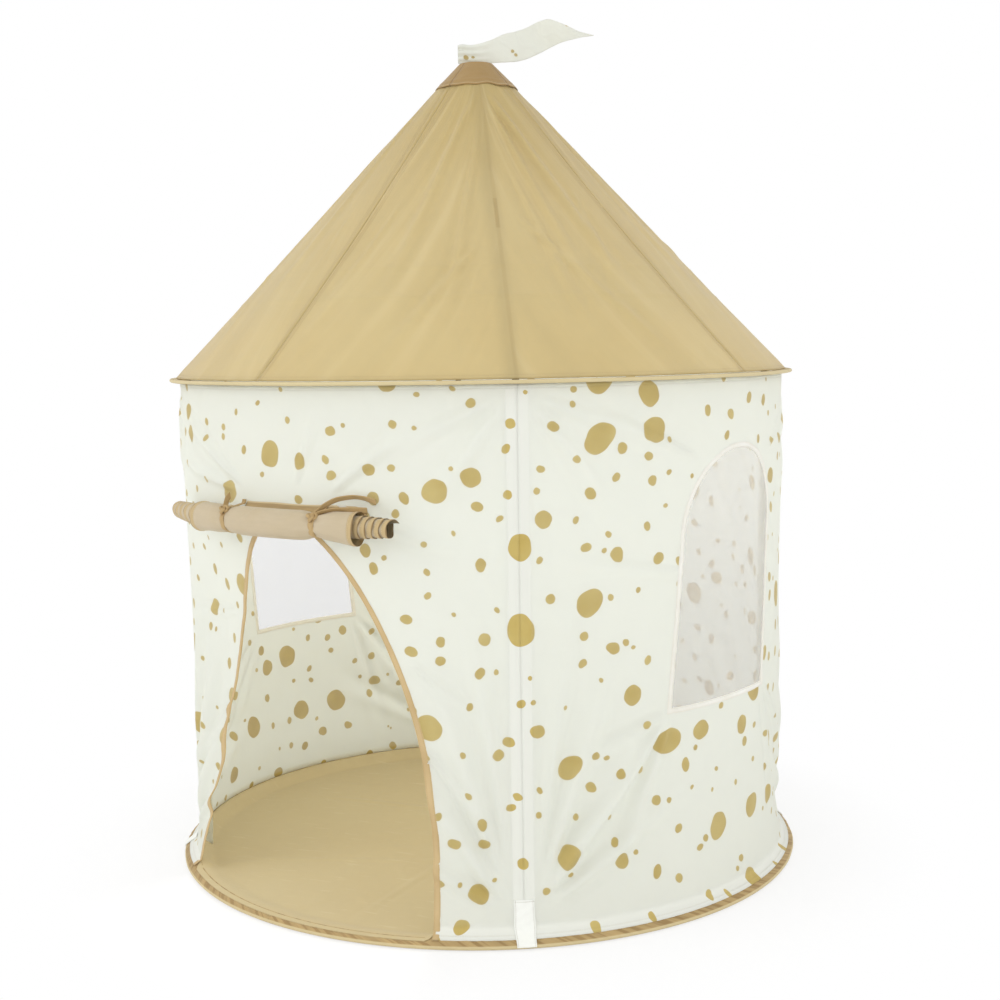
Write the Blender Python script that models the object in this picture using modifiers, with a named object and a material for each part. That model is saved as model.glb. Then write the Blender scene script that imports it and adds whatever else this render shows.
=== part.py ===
"""A round play tent for a child, as separate solids.

Four jointed poles stand inside a round cloth wall and lean together under a
cone roof. A steel hoop in a tape sleeve holds the wall round at the ground and
another at the eave. The front wall has an arched doorway with its door cloth
rolled up and tied over it, the side walls have an arched net window each, and
a small flag is sewn to the flat point of the roof.

Metres, +Z up. The origin is on the ground on the tent's axis and the doorway
faces -Y. Azimuths are degrees from -Y towards +X.
"""

import math

import bmesh
import bpy
from mathutils import Vector

# Whole tent
EAVE_HEIGHT = 0.81
ROOF_HEIGHT = 0.52
WALL_TOP_RADIUS = 0.508
WALL_FOOT_RADIUS = 0.499
ROOF_EAVE_RADIUS = 0.515
CROWN_RADIUS = 0.027
CLEARANCE = 0.0003
OVERRUN = 0.05
RING_STEPS = 60

# Cloth thicknesses
WALL_CLOTH = 0.0015
ROOF_CLOTH = 0.0015
FLOOR_CLOTH = 0.0015
BINDING_CLOTH = 0.0024
NET_CLOTH = 0.0010
SLEEVE_CLOTH = 0.0010
PATCH_CLOTH = 0.0012
CAP_CLOTH = 0.0018
DOOR_CLOTH = 0.0012
TIE_CLOTH = 0.0012
FLAG_CLOTH = 0.0015

# Base band and its hoop
BASE_BAND_RADIUS = 0.530
BASE_BAND_WIDTH = 0.021
BASE_BAND_HEIGHT = 0.020
BASE_TAPE = 0.0012
BASE_WIRE_RADIUS = 0.0020

# Eave band and its hoop
EAVE_BAND_RADIUS = 0.525
EAVE_BAND_WIDTH = 0.018
EAVE_TAPE = 0.0008
EAVE_WIRE_RADIUS = 0.0018
WIRE_SIDES = 6

# Walls
POLE_AZIMUTHS = {"front_right": 45, "back_right": 135, "back_left": 225, "front_left": 315}
WALL_AZIMUTHS = {"front": 0, "right": 90, "back": 180, "left": 270}
WALL_SPAN = 90
WALL_COLUMNS = 15
WALL_ROWS = 11
FLARE_HEIGHT = 0.080
FOOT_FOLD_DEPTH = 0.006
FOOT_FOLD_REACH = 0.50
HEAD_FOLD_DEPTH = 0.003
HEAD_FOLD_REACH = 0.22
FAN_FOLDS = 9

# Doorway and windows
DOOR_HALF_WIDTH = 0.252
DOOR_SPRING_HEIGHT = 0.120
DOOR_TOP_HEIGHT = 0.622
DOOR_BINDING_WIDTH = 0.010
DOOR_DRAWN_IN = 0.064
DOOR_DRAWN_SPAN = 0.10
DOOR_DRAWN_HEIGHT = 0.450
DOOR_SLACK = 0.045
DOOR_SLACK_FOOT = 0.040
DOOR_SLACK_FROM = -43
DOOR_SLACK_FULL = -25
WINDOW_HALF_WIDTH = 0.118
WINDOW_SILL_HEIGHT = 0.322
WINDOW_TOP_HEIGHT = 0.700
WINDOW_BINDING_WIDTH = 0.010
WINDOW_LEAN = 0.035  # how far the twist of the cloth carries the sill sideways, against the head
ARCH_STEPS = 20

# Poles
POLE_RADIUS = 0.0035
POLE_SIDES = 8
POLE_GAP = 0.0006
WALL_FERRULE_HEIGHT = 0.390
ROOF_FERRULE_REACH = 0.334
FERRULE_LENGTH = 0.050
FERRULE_WALL = 0.0009
ELBOW_WALL = 0.0015
ELBOW_BEND_RADIUS = 0.035
ELBOW_STEPS = 4
SOCKET_DEPTH = 0.030
ROD_END_GAP = 0.004
ROOF_STANDOFF = 0.012
HUB_WALL = 0.0015
HUB_RADIUS = 0.021
HUB_HEIGHT = 0.030
HUB_ROD_END_RADIUS = 0.034

# Pole sleeves and foot patches
SLEEVE_WIDTH = 0.030
SLEEVE_CHANNEL_WIDTH = 0.019
SLEEVE_CREST_WIDTH = 0.012
SLEEVE_FOOT_HEIGHT = 0.110
SLEEVE_HEAD_HEIGHT = 0.740
PATCH_WIDTH = 0.034
PATCH_HEIGHT = 0.042

# Roof
GORE_COLUMNS = 10
GORE_ROWS = 8
ROOF_SAG = 0.010
GORE_TOP_DROP = 0.012
CAP_DROP = 0.058
CAP_STEPS = 40

# Rolled door cloth, its bundle curved along the wall
ROLL_RADIUS = 0.0210
ROLL_CORE_RADIUS = 0.0150
ROLL_BORE_RADIUS = 0.0070
ROLL_BORE_DEPTH = 0.012
ROLL_DROP = 0.012
ROLL_STANDOFF = 0.0026
ROLL_LENGTH = 0.480
ROLL_WRAP_LENGTH = 0.320
ROLL_WRAPS = 5
ROLL_SIDES = 14
ROLL_LEDGE_SHARE = 0.07
DOOR_SEAM_RISE = 0.0107
DOOR_SEAM_HALF_SPAN = 21
DOOR_SEAM_STEP = 6

# Ties
TIE_AZIMUTHS = {"left": -5, "right": 13}
TIE_WIDTH = 0.011
TIE_STEPS = 14
TIE_PINCH_SHARE = 0.90
TIE_PINCH_WIDTH = 0.024
TIE_WRAP_FROM = 90
TIE_WRAP_TO = -178
KNOT_WIDTH = 0.020
KNOT_HEIGHT = 0.016
KNOT_DEPTH = 0.009
TAIL_STEPS = 6
TAIL_LENGTHS = {"left": (-0.045,), "right": (0.085, -0.110)}

# Flag: a leaf of cloth on the flat crown
FLAG_AZIMUTH = 129.5
FLAG_LENGTH = 0.229
FLAG_HEIGHT = 0.0725
FLAG_BEHIND_AXIS = 0.030
FLAG_WAVE_DEPTH = 0.007
FLAG_WAVES = 2.0
FLAG_ROWS = 3
FLAG_STATION_SHARES = (0, 0.03, 0.09, 0.17, 0.26, 0.34, 0.42, 0.50, 0.58, 0.67, 0.76, 0.88, 1)
FLAG_BOTTOM_SHARES = (0.01, 0.01, 0.01, 0.01, 0.01, 0.01, 0.02, 0.08, 0.19, 0.34, 0.45, 0.53, 0.60)
FLAG_TOP_SHARES = (0.42, 0.46, 0.42, 0.46, 0.54, 0.66, 0.71, 0.80, 0.93, 1.00, 0.88, 0.70, 0.63)

# Worked out from the sizes above
BASE_HALF_GAP = BASE_WIRE_RADIUS + CLEARANCE
EAVE_HALF_GAP = EAVE_WIRE_RADIUS + CLEARANCE
EAVE_HALF_THICKNESS = EAVE_HALF_GAP + EAVE_TAPE
WALL_FOOT = BASE_BAND_HEIGHT + CLEARANCE
WALL_HEAD = EAVE_HEIGHT - EAVE_HALF_THICKNESS - CLEARANCE
WALL_SEAT_RADIUS = BASE_BAND_RADIUS - BASE_BAND_WIDTH + WALL_CLOTH
ROOF_FOOT = EAVE_HEIGHT + EAVE_HALF_THICKNESS + CLEARANCE
CROWN = EAVE_HEIGHT + ROOF_HEIGHT
ROOF_SLOPE = (ROOF_EAVE_RADIUS - CROWN_RADIUS) / (CROWN - ROOF_FOOT)
ROOF_SLANT = math.hypot(1, ROOF_SLOPE)
BORE_RADIUS = (POLE_RADIUS + CLEARANCE) / math.cos(math.pi / POLE_SIDES)
FERRULE_RADIUS = BORE_RADIUS + FERRULE_WALL
ELBOW_RADIUS = BORE_RADIUS + ELBOW_WALL
SOCKET_RADIUS = BORE_RADIUS + HUB_WALL
WALL_STANDOFF = ELBOW_RADIUS + POLE_GAP
ROLL_AXIS_RADIUS = WALL_TOP_RADIUS + ROLL_STANDOFF + ROLL_RADIUS
ROLL_HEIGHT = DOOR_TOP_HEIGHT - ROLL_DROP
HEM_FOOT = DOOR_TOP_HEIGHT + DOOR_BINDING_WIDTH + CLEARANCE
DOOR_SEAM_HEIGHT = HEM_FOOT + DOOR_SEAM_RISE

# Colours as seen, in 0 to 255
CREAM = (236, 237, 226)
TAN_ROOF = (208, 190, 138)
TAN_FLOOR = (205, 188, 142)
TAN_TAPE = (188, 166, 122)
TAN_CAP = (181, 152, 104)
TAN_DOOR = (202, 187, 154)
NET_WHITE = (236, 236, 233)
PATCH_WHITE = (236, 237, 230)
FIBRE_GREY = (70, 72, 76)
STEEL = (176, 178, 182)
BLACK_PLASTIC = (38, 38, 40)


def linear(colour):
    """The scene-linear colour, with full alpha, of one given in 0 to 255."""
    shares = [channel / 255 for channel in colour]
    low = [share / 12.92 for share in shares]
    high = [((share + 0.055) / 1.055) ** 2.4 for share in shares]
    return [a if s <= 0.04045 else b for s, a, b in zip(shares, low, high)] + [1]


def finish(name, colour, roughness, metallic=0):
    """A Principled material."""
    material = bpy.data.materials.new(name)
    material.use_nodes = True
    shader = material.node_tree.nodes["Principled BSDF"]
    shader.inputs["Base Color"].default_value = linear(colour)
    shader.inputs["Roughness"].default_value = roughness
    shader.inputs["Metallic"].default_value = metallic
    return material


def spot(azimuth, radius, height):
    """The point at an azimuth in degrees, a radius and a height."""
    turn = math.radians(azimuth)
    return Vector((radius * math.sin(turn), -radius * math.cos(turn), height))


def outward(azimuth):
    """The unit vector away from the axis at an azimuth."""
    return spot(azimuth, 1, 0)


def sideways(azimuth):
    """The unit vector towards growing azimuth."""
    return outward(azimuth + 90)


def keep(obj, name, colour, roughness, metallic=0, origin=None):
    """Names the piece, gives it its own material and moves it to the tent's collection."""
    obj.name = name
    obj.data.name = name
    obj.data.materials.clear()
    obj.data.materials.append(finish(name, colour, roughness, metallic))
    for holder in list(obj.users_collection):
        holder.objects.unlink(obj)
    bpy.data.collections["PlayTent"].objects.link(obj)
    if origin is not None:
        parent = bpy.data.objects[origin]
        obj.parent = parent
        obj.matrix_parent_inverse = parent.matrix_world.inverted()
    return obj


def set_aside(obj, name):
    """Makes the object a cutter that isn't part of the tent."""
    obj.name = name
    obj.hide_render = True
    obj.display_type = "WIRE"
    for holder in list(obj.users_collection):
        holder.objects.unlink(obj)
    bpy.data.collections["Cutters"].objects.link(obj)
    return obj


def boolean(obj, other, operation):
    """Adds an exact Boolean with the other object."""
    modifier = obj.modifiers.new(operation.title(), "BOOLEAN")
    modifier.operation = operation
    modifier.solver = "EXACT"
    modifier.object = other


def smooth(obj):
    """Shades a round piece smooth, with its hard edges kept."""
    obj.data.shade_smooth()
    obj.data.set_sharp_from_angle(angle=math.radians(40))


def thicken(obj, thickness, offset=0):
    """Gives an open surface its thickness."""
    modifier = obj.modifiers.new("Thickness", "SOLIDIFY")
    modifier.thickness = thickness
    modifier.offset = offset
    modifier.use_even_offset = True


def cloth_sheet(columns, rows, place, thickness):
    """Cloth: a grid whose vertex at column u and row v goes to place(u, v), made thick both ways."""
    bpy.ops.mesh.primitive_grid_add(
        x_subdivisions=len(columns) - 1, y_subdivisions=len(rows) - 1, size=1
    )
    obj = bpy.context.object
    for vertex in obj.data.vertices:
        u = columns[round((vertex.co.x + 0.5) * (len(columns) - 1))]
        v = rows[round((vertex.co.y + 0.5) * (len(rows) - 1))]
        vertex.co = place(u, v)
    thicken(obj, thickness)
    return obj


def turned(profile, steps, closed):
    """A profile of (radius, height) points carried once round the Z axis."""
    mesh = bpy.data.meshes.new("Profile")
    edges = [(i, i + 1) for i in range(len(profile) - 1)]
    if closed:
        edges.append((len(profile) - 1, 0))
    mesh.from_pydata([(radius, 0, height) for radius, height in profile], edges, [])
    obj = bpy.data.objects.new("Turned", mesh)
    bpy.context.scene.collection.objects.link(obj)
    modifier = obj.modifiers.new("Turn", "SCREW")
    modifier.steps = steps
    modifier.render_steps = steps
    modifier.use_merge_vertices = True
    modifier.merge_threshold = 0.00001
    return obj


def stand_between(obj, start, end):
    """Places an object made along Z between two points."""
    obj.rotation_mode = "QUATERNION"
    obj.rotation_quaternion = (end - start).to_track_quat("Z", "X")
    obj.location = (start + end) / 2


def rod(start, end, radius):
    """A straight round bar."""
    length = (end - start).length
    bpy.ops.mesh.primitive_cylinder_add(vertices=POLE_SIDES, radius=radius, depth=length)
    obj = bpy.context.object
    stand_between(obj, start, end)
    return obj


def tube(start, end, inner, outer):
    """A straight open tube."""
    half = (end - start).length / 2
    obj = turned([(outer, half), (outer, -half), (inner, -half), (inner, half)], POLE_SIDES, True)
    stand_between(obj, start, end)
    return obj


def real_mesh(obj):
    """The mesh object that a curve evaluates to, with its caps welded. The curve is removed."""
    bpy.context.view_layer.update()
    graph = bpy.context.evaluated_depsgraph_get()
    mesh = bpy.data.meshes.new_from_object(obj.evaluated_get(graph))
    shape = bmesh.new()
    shape.from_mesh(mesh)
    bmesh.ops.remove_doubles(shape, verts=shape.verts, dist=0.00001)
    bmesh.ops.recalc_face_normals(shape, faces=shape.faces)
    shape.to_mesh(mesh)
    shape.free()
    made = bpy.data.objects.new(obj.name, mesh)
    made.matrix_world = obj.matrix_world
    bpy.context.scene.collection.objects.link(made)
    bpy.data.objects.remove(obj)
    return made


def prism(name, outline, facing):
    """A cutter with a flat outline of (across, height) points, run through the wall that faces an azimuth."""
    curve = bpy.data.curves.new(name, "CURVE")
    curve.dimensions = "2D"
    curve.fill_mode = "BOTH"
    curve.extrude = WALL_TOP_RADIUS / 2
    spline = curve.splines.new("POLY")
    spline.points.add(len(outline) - 1)
    for point, (across, height) in zip(spline.points, outline):
        point.co = (across, height, 0, 1)
    spline.use_cyclic_u = True
    obj = bpy.data.objects.new(name, curve)
    bpy.context.scene.collection.objects.link(obj)
    obj.rotation_euler = (math.radians(90), 0, math.radians(facing))
    obj.location = spot(facing, WALL_TOP_RADIUS, 0)
    return set_aside(real_mesh(obj), name)


def wall_radius(height):
    """Outer radius of the wall cloth: a straight taper that flares out to the base band."""
    share = (height - WALL_FOOT) / (WALL_HEAD - WALL_FOOT)
    straight = WALL_FOOT_RADIUS + share * (WALL_TOP_RADIUS - WALL_FOOT_RADIUS)
    low = max(0, 1 - (height - WALL_FOOT) / FLARE_HEIGHT)
    return straight + low**2 * (WALL_SEAT_RADIUS - WALL_FOOT_RADIUS)


def fan(across, rise, depth, reach):
    """Folds that spread from a corner, none along either of its sides."""
    angle = math.atan2(rise, across)
    share = min(math.hypot(across, rise) / reach, 1)
    return depth * math.sin(2 * angle) * math.cos(FAN_FOLDS * angle) * math.sin(math.pi * share) ** 2


def wall_fold(across, height):
    """How far the folds push a wall out, from the metres along it from its first pole."""
    width = math.radians(WALL_SPAN) * WALL_TOP_RADIUS
    near = min(across, width - across)
    if near < SLEEVE_WIDTH:
        return 0
    foot = fan(near, height - WALL_FOOT, FOOT_FOLD_DEPTH, FOOT_FOLD_REACH)
    return foot + fan(near, WALL_HEAD - height, HEAD_FOLD_DEPTH, HEAD_FOLD_REACH)


def eased(share):
    """A smooth rise from 0 to 1 as the share goes from 0 to 1."""
    share = min(max(share, 0), 1)
    return share * share * (3 - 2 * share)


def door_slack(azimuth, height):
    """How far the front wall's free edge left of the doorway hangs inwards, most at mid height."""
    share = (height - DOOR_SLACK_FOOT) / (DOOR_TOP_HEIGHT - DOOR_SLACK_FOOT)
    up = math.sin(math.pi * min(max(share, 0), 1) ** 1.25)
    near = eased((azimuth - DOOR_SLACK_FROM) / (DOOR_SLACK_FULL - DOOR_SLACK_FROM))
    past = eased(1 - azimuth / TIE_AZIMUTHS["right"])
    return DOOR_SLACK * up * near * past


def wall_columns():
    """Shares across a wall: even steps, and one at each sleeve's edge so that the folds start past it."""
    edge = SLEEVE_WIDTH / (math.radians(WALL_SPAN) * WALL_TOP_RADIUS)
    even = [i / WALL_COLUMNS for i in range(WALL_COLUMNS + 1)]
    return sorted(even + [edge * 0.8, 1 - edge * 0.8])


def patch_heights():
    """Heights of the wall's lowest rows, which the foot patches share."""
    return [WALL_FOOT + share * PATCH_HEIGHT for share in (0, 0.5, 1)]


def wall_heights():
    """Heights of a wall's rows."""
    start = WALL_FOOT + max(FLARE_HEIGHT, PATCH_HEIGHT + CLEARANCE)
    rows = [start + i * (WALL_HEAD - start) / WALL_ROWS for i in range(WALL_ROWS + 1)]
    return patch_heights() + rows


def wall_sheet(facing, thickness):
    """One wall between two poles, with its folds."""
    half_seam = math.degrees(CLEARANCE / WALL_FOOT_RADIUS)
    width = math.radians(WALL_SPAN) * WALL_TOP_RADIUS

    def place(u, height):
        azimuth = facing + (u - 0.5) * (WALL_SPAN - half_seam)
        radius = wall_radius(height) - WALL_CLOTH / 2 + wall_fold(u * width, height)
        if facing == WALL_AZIMUTHS["front"]:
            radius -= door_slack(azimuth, height)
        return spot(azimuth, radius, height)

    return cloth_sheet(wall_columns(), wall_heights(), place, thickness)


def arch(half_width, foot, spring, top):
    """A closed outline of (across, height) points: upright sides under half an ellipse."""
    bow = []
    for i in range(ARCH_STEPS + 1):
        turn = math.pi * i / ARCH_STEPS
        bow.append((half_width * math.cos(turn), spring + (top - spring) * math.sin(turn)))
    return [(half_width, foot)] + bow + [(-half_width, foot)]


def door_arch(grow):
    """The doorway's outline, grown by a distance, its left side drawn in by the slack cloth."""
    even = arch(DOOR_HALF_WIDTH + grow, -OVERRUN, DOOR_SPRING_HEIGHT, DOOR_TOP_HEIGHT + grow)
    drawn = []
    for across, height in even:
        left = eased(0.5 - across / (2 * DOOR_DRAWN_SPAN))
        rise = min(max(height / DOOR_DRAWN_HEIGHT, 0), 1) ** 1.2
        drawn.append((across + DOOR_DRAWN_IN * left * rise, height))
    return drawn


def window_arch(grow):
    """A window's outline, grown by a distance, with a round head, leaning as the cloth does."""
    spring = WINDOW_TOP_HEIGHT - WINDOW_HALF_WIDTH
    foot = WINDOW_SILL_HEIGHT - grow
    upright = arch(WINDOW_HALF_WIDTH + grow, foot, spring, WINDOW_TOP_HEIGHT + grow)
    lean = WINDOW_LEAN / (WINDOW_TOP_HEIGHT - WINDOW_SILL_HEIGHT)
    return [(across - lean * (WINDOW_TOP_HEIGHT - height), height) for across, height in upright]


def make_base():
    """The floor sheet, the base hoop and the band that sleeves the hoop, open towards the floor."""
    inner = BASE_BAND_RADIUS - BASE_BAND_WIDTH
    bpy.ops.mesh.primitive_cylinder_add(
        vertices=RING_STEPS, radius=inner - CLEARANCE, depth=FLOOR_CLOTH,
        location=(0, 0, FLOOR_CLOTH / 2),
    )
    keep(bpy.context.object, "floor", TAN_FLOOR, 0.85)
    nose = BASE_BAND_RADIUS - BASE_TAPE
    over = BASE_TAPE + 2 * BASE_HALF_GAP
    profile = [
        (inner, BASE_BAND_HEIGHT),
        (nose, over + BASE_TAPE),
        (BASE_BAND_RADIUS, over),
        (BASE_BAND_RADIUS, BASE_TAPE),
        (nose, 0),
        (inner, 0),
        (inner, BASE_TAPE),
        (nose, BASE_TAPE),
        (nose, over),
        (inner, BASE_BAND_HEIGHT - 1.4 * BASE_TAPE),
    ]
    band = keep(turned(profile, RING_STEPS, True), "base_band", TAN_TAPE, 0.8)
    smooth(band)
    bpy.ops.mesh.primitive_torus_add(
        major_radius=nose - BASE_HALF_GAP, minor_radius=BASE_WIRE_RADIUS,
        major_segments=RING_STEPS, minor_segments=WIRE_SIDES,
        location=(0, 0, BASE_TAPE + BASE_HALF_GAP),
    )
    keep(bpy.context.object, "base_hoop", STEEL, 0.35, 1)


def make_eave():
    """The eave hoop and the flat band that sleeves it, open towards the axis."""
    inner = EAVE_BAND_RADIUS - EAVE_BAND_WIDTH
    nose = EAVE_BAND_RADIUS - EAVE_TAPE
    top = EAVE_HEIGHT + EAVE_HALF_THICKNESS
    bottom = EAVE_HEIGHT - EAVE_HALF_THICKNESS
    profile = [
        (inner, top),
        (EAVE_BAND_RADIUS, top),
        (EAVE_BAND_RADIUS, bottom),
        (inner, bottom),
        (inner, bottom + EAVE_TAPE),
        (nose, bottom + EAVE_TAPE),
        (nose, top - EAVE_TAPE),
        (inner, top - EAVE_TAPE),
    ]
    keep(turned(profile, RING_STEPS, True), "eave_band", TAN_TAPE, 0.8)
    bpy.ops.mesh.primitive_torus_add(
        major_radius=nose - EAVE_HALF_GAP, minor_radius=EAVE_WIRE_RADIUS,
        major_segments=RING_STEPS, minor_segments=WIRE_SIDES,
        location=(0, 0, EAVE_HEIGHT),
    )
    keep(bpy.context.object, "eave_hoop", STEEL, 0.35, 1)


def make_walls():
    """Four walls, the doorway's binding, and each window's binding and net."""
    for side, facing in WALL_AZIMUTHS.items():
        wall = keep(wall_sheet(facing, WALL_CLOTH), "wall_" + side, CREAM, 0.9)
        if side == "back":
            continue
        if side == "front":
            outline, width = door_arch, DOOR_BINDING_WIDTH
            name = "door_binding"
        else:
            outline, width = window_arch, WINDOW_BINDING_WIDTH
            name = "window_binding_" + side
        boolean(wall, prism(side + "_hole", outline(width), facing), "DIFFERENCE")
        binding = wall_sheet(facing, BINDING_CLOTH)
        boolean(binding, prism(side + "_rim", outline(width - CLEARANCE), facing), "INTERSECT")
        boolean(binding, prism(side + "_opening", outline(0), facing), "DIFFERENCE")
        keep(binding, name, TAN_TAPE if side == "front" else CREAM, 0.85)
        if side != "front":
            net = wall_sheet(facing, NET_CLOTH)
            boolean(net, prism(side + "_net", outline(-CLEARANCE), facing), "INTERSECT")
            keep(net, "window_net_" + side, NET_WHITE, 0.9)


def wall_pole_spot(azimuth, height):
    """A point on a pole's axis beside the wall, a standoff inside the cloth's straight taper."""
    share = (height - WALL_FOOT) / (WALL_HEAD - WALL_FOOT)
    face = WALL_FOOT_RADIUS + share * (WALL_TOP_RADIUS - WALL_FOOT_RADIUS) - WALL_CLOTH
    return spot(azimuth, face - WALL_STANDOFF, height)


def roof_radius(height):
    """Outer radius of the roof cloth along a pole."""
    return CROWN_RADIUS + (CROWN - height) * ROOF_SLOPE


def roof_pole_spot(azimuth, height):
    """A point on a pole's axis under the roof, a standoff inside the cloth, measured square to it."""
    inset = (ROOF_CLOTH + ROOF_STANDOFF) * ROOF_SLANT
    return spot(azimuth, roof_radius(height) - inset, height)


def crossing(azimuth):
    """Where a pole's wall line and roof line cross: they agree at one height, as both are straight."""
    low, high = WALL_FOOT, CROWN
    step = high - low
    gap_low = wall_pole_spot(0, low).y - roof_pole_spot(0, low).y
    gap_high = wall_pole_spot(0, high).y - roof_pole_spot(0, high).y
    height = low + step * gap_low / (gap_low - gap_high)
    return wall_pole_spot(azimuth, height)


def make_pole(corner, azimuth):
    """One pole: four sections, two ferrules and the elbow at the eave."""
    corner_spot = crossing(azimuth)
    foot = wall_pole_spot(azimuth, FLOOR_CLOTH + CLEARANCE)
    up = (corner_spot - foot).normalized()
    inset = (ROOF_CLOTH + ROOF_STANDOFF) * ROOF_SLANT
    rod_end = CROWN - (HUB_ROD_END_RADIUS + inset - CROWN_RADIUS) / ROOF_SLOPE
    top = roof_pole_spot(azimuth, rod_end)
    along = (top - corner_spot).normalized()
    bend = math.acos(up.dot(along))
    reach = ELBOW_BEND_RADIUS * math.tan(bend / 2)
    wall_joint = foot + up * (WALL_FERRULE_HEIGHT - foot.z)
    roof_joint = corner_spot + along * ROOF_FERRULE_REACH
    half_gap = ROD_END_GAP / 2
    name = "pole_" + corner
    sections = {
        "_foot_section": (foot, wall_joint - up * half_gap),
        "_wall_section": (wall_joint + up * half_gap, corner_spot - up * (reach + ROD_END_GAP)),
        "_roof_section": (corner_spot + along * (reach + ROD_END_GAP), roof_joint - along * half_gap),
        "_top_section": (roof_joint + along * half_gap, top),
    }
    for part, (start, end) in sections.items():
        piece = keep(rod(start, end, POLE_RADIUS), name + part, FIBRE_GREY, 0.45)
        smooth(piece)
    for part, middle, way in (("_wall_ferrule", wall_joint, up), ("_roof_ferrule", roof_joint, along)):
        half = way * (FERRULE_LENGTH / 2)
        sleeve = tube(middle - half, middle + half, BORE_RADIUS, FERRULE_RADIUS)
        keep(sleeve, name + part, STEEL, 0.3, 1)
    make_elbow(name + "_elbow", corner_spot, up, along, bend, reach)


def make_elbow(name, corner_spot, up, along, bend, reach):
    """A bent open tube: two straight sockets joined by an arc."""
    square = (along - up * along.dot(up)).normalized()
    first = corner_spot - up * reach
    centre = first + square * ELBOW_BEND_RADIUS
    path = [first - up * SOCKET_DEPTH]
    for i in range(ELBOW_STEPS + 1):
        turn = bend * i / ELBOW_STEPS
        path.append(centre + ELBOW_BEND_RADIUS * (math.sin(turn) * up - math.cos(turn) * square))
    path.append(corner_spot + along * (reach + SOCKET_DEPTH))
    curve = bpy.data.curves.new(name, "CURVE")
    curve.dimensions = "3D"
    curve.bevel_depth = BORE_RADIUS
    curve.bevel_resolution = 2
    spline = curve.splines.new("POLY")
    spline.points.add(len(path) - 1)
    for point, place in zip(spline.points, path):
        point.co = (*place, 1)
    obj = bpy.data.objects.new(name, curve)
    bpy.context.scene.collection.objects.link(obj)
    elbow = real_mesh(obj)
    thicken(elbow, ELBOW_WALL, 1)
    keep(elbow, name, BLACK_PLASTIC, 0.5)


def make_hub():
    """A round plug under the roof's point, with a slanted socket for each pole's top."""
    top = CROWN - CAP_CLOTH - CLEARANCE
    bpy.ops.mesh.primitive_cylinder_add(
        vertices=2 * POLE_SIDES, radius=HUB_RADIUS, depth=HUB_HEIGHT,
        location=(0, 0, top - HUB_HEIGHT / 2),
    )
    hub = keep(bpy.context.object, "apex_hub", BLACK_PLASTIC, 0.5)
    inset = (ROOF_CLOTH + ROOF_STANDOFF) * ROOF_SLANT
    rod_end = CROWN - (HUB_ROD_END_RADIUS + inset - CROWN_RADIUS) / ROOF_SLOPE
    bores = []
    for corner, azimuth in POLE_AZIMUTHS.items():
        end = roof_pole_spot(azimuth, rod_end)
        inward = (end - crossing(azimuth)).normalized()
        travel = (HUB_ROD_END_RADIUS - HUB_RADIUS + SOCKET_RADIUS) / -inward.dot(outward(azimuth))
        root = end + inward * travel
        mouth = end - inward * SOCKET_DEPTH
        socket = set_aside(rod(mouth, root, SOCKET_RADIUS), "socket_" + corner)
        boolean(hub, socket, "UNION")
        bore = rod(mouth - inward * OVERRUN, end + inward * CLEARANCE, BORE_RADIUS)
        bores.append(set_aside(bore, "socket_bore_" + corner))
    for bore in bores:
        boolean(hub, bore, "DIFFERENCE")


def make_sleeve(corner, azimuth):
    """A strip sewn inside the wall, raised in a channel round the pole."""
    depth = WALL_STANDOFF + FERRULE_RADIUS + POLE_GAP + SLEEVE_CLOTH / 2
    lip = POLE_GAP + SLEEVE_CLOTH / 2
    half = SLEEVE_WIDTH / 2
    channel, crest = SLEEVE_CHANNEL_WIDTH / 2, SLEEVE_CREST_WIDTH / 2
    section = [(-half, lip), (-channel, lip), (-crest, depth), (crest, depth), (channel, lip), (half, lip)]

    def place(column, height):
        across, inset = section[column]
        face = wall_pole_spot(azimuth, height) + outward(azimuth) * WALL_STANDOFF
        return face - outward(azimuth) * inset + sideways(azimuth) * across

    heights = [SLEEVE_FOOT_HEIGHT, SLEEVE_HEAD_HEIGHT]
    sleeve = cloth_sheet(range(len(section)), heights, place, SLEEVE_CLOTH)
    keep(sleeve, "pole_sleeve_" + corner, CREAM, 0.9)


def make_patch(corner, azimuth):
    """A patch sewn outside the wall over the pole's foot, above the band."""
    offset = CLEARANCE + PATCH_CLOTH / 2

    def place(across, height):
        return spot(azimuth, wall_radius(height) + offset, height) + sideways(azimuth) * across

    columns = [-PATCH_WIDTH / 2, 0, PATCH_WIDTH / 2]
    patch = cloth_sheet(columns, patch_heights(), place, PATCH_CLOTH)
    keep(patch, "foot_patch_" + corner, PATCH_WHITE, 0.8)


def make_gore(corner, azimuth):
    """A quarter of the roof, high along its pole and sagging towards its seams."""
    foot = ROOF_FOOT + ROOF_CLOTH / 2
    head = CROWN - GORE_TOP_DROP

    def place(u, share):
        height = foot + share * (head - foot)
        sag = ROOF_SAG * math.sin(math.pi * share) * math.sin(math.pi * abs(u - 0.5)) ** 2
        radius = roof_radius(height) - (ROOF_CLOTH / 2) * ROOF_SLANT
        half_seam = math.degrees(CLEARANCE / radius)
        turn = (u - 0.5) * (WALL_SPAN - half_seam)
        return spot(azimuth + turn, radius - sag, height)

    columns = [i / GORE_COLUMNS for i in range(GORE_COLUMNS + 1)]
    rows = [i / GORE_ROWS for i in range(GORE_ROWS + 1)]
    gore = cloth_sheet(columns, rows, place, ROOF_CLOTH)
    keep(gore, "roof_gore_" + corner, TAN_ROOF, 0.8)


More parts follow.
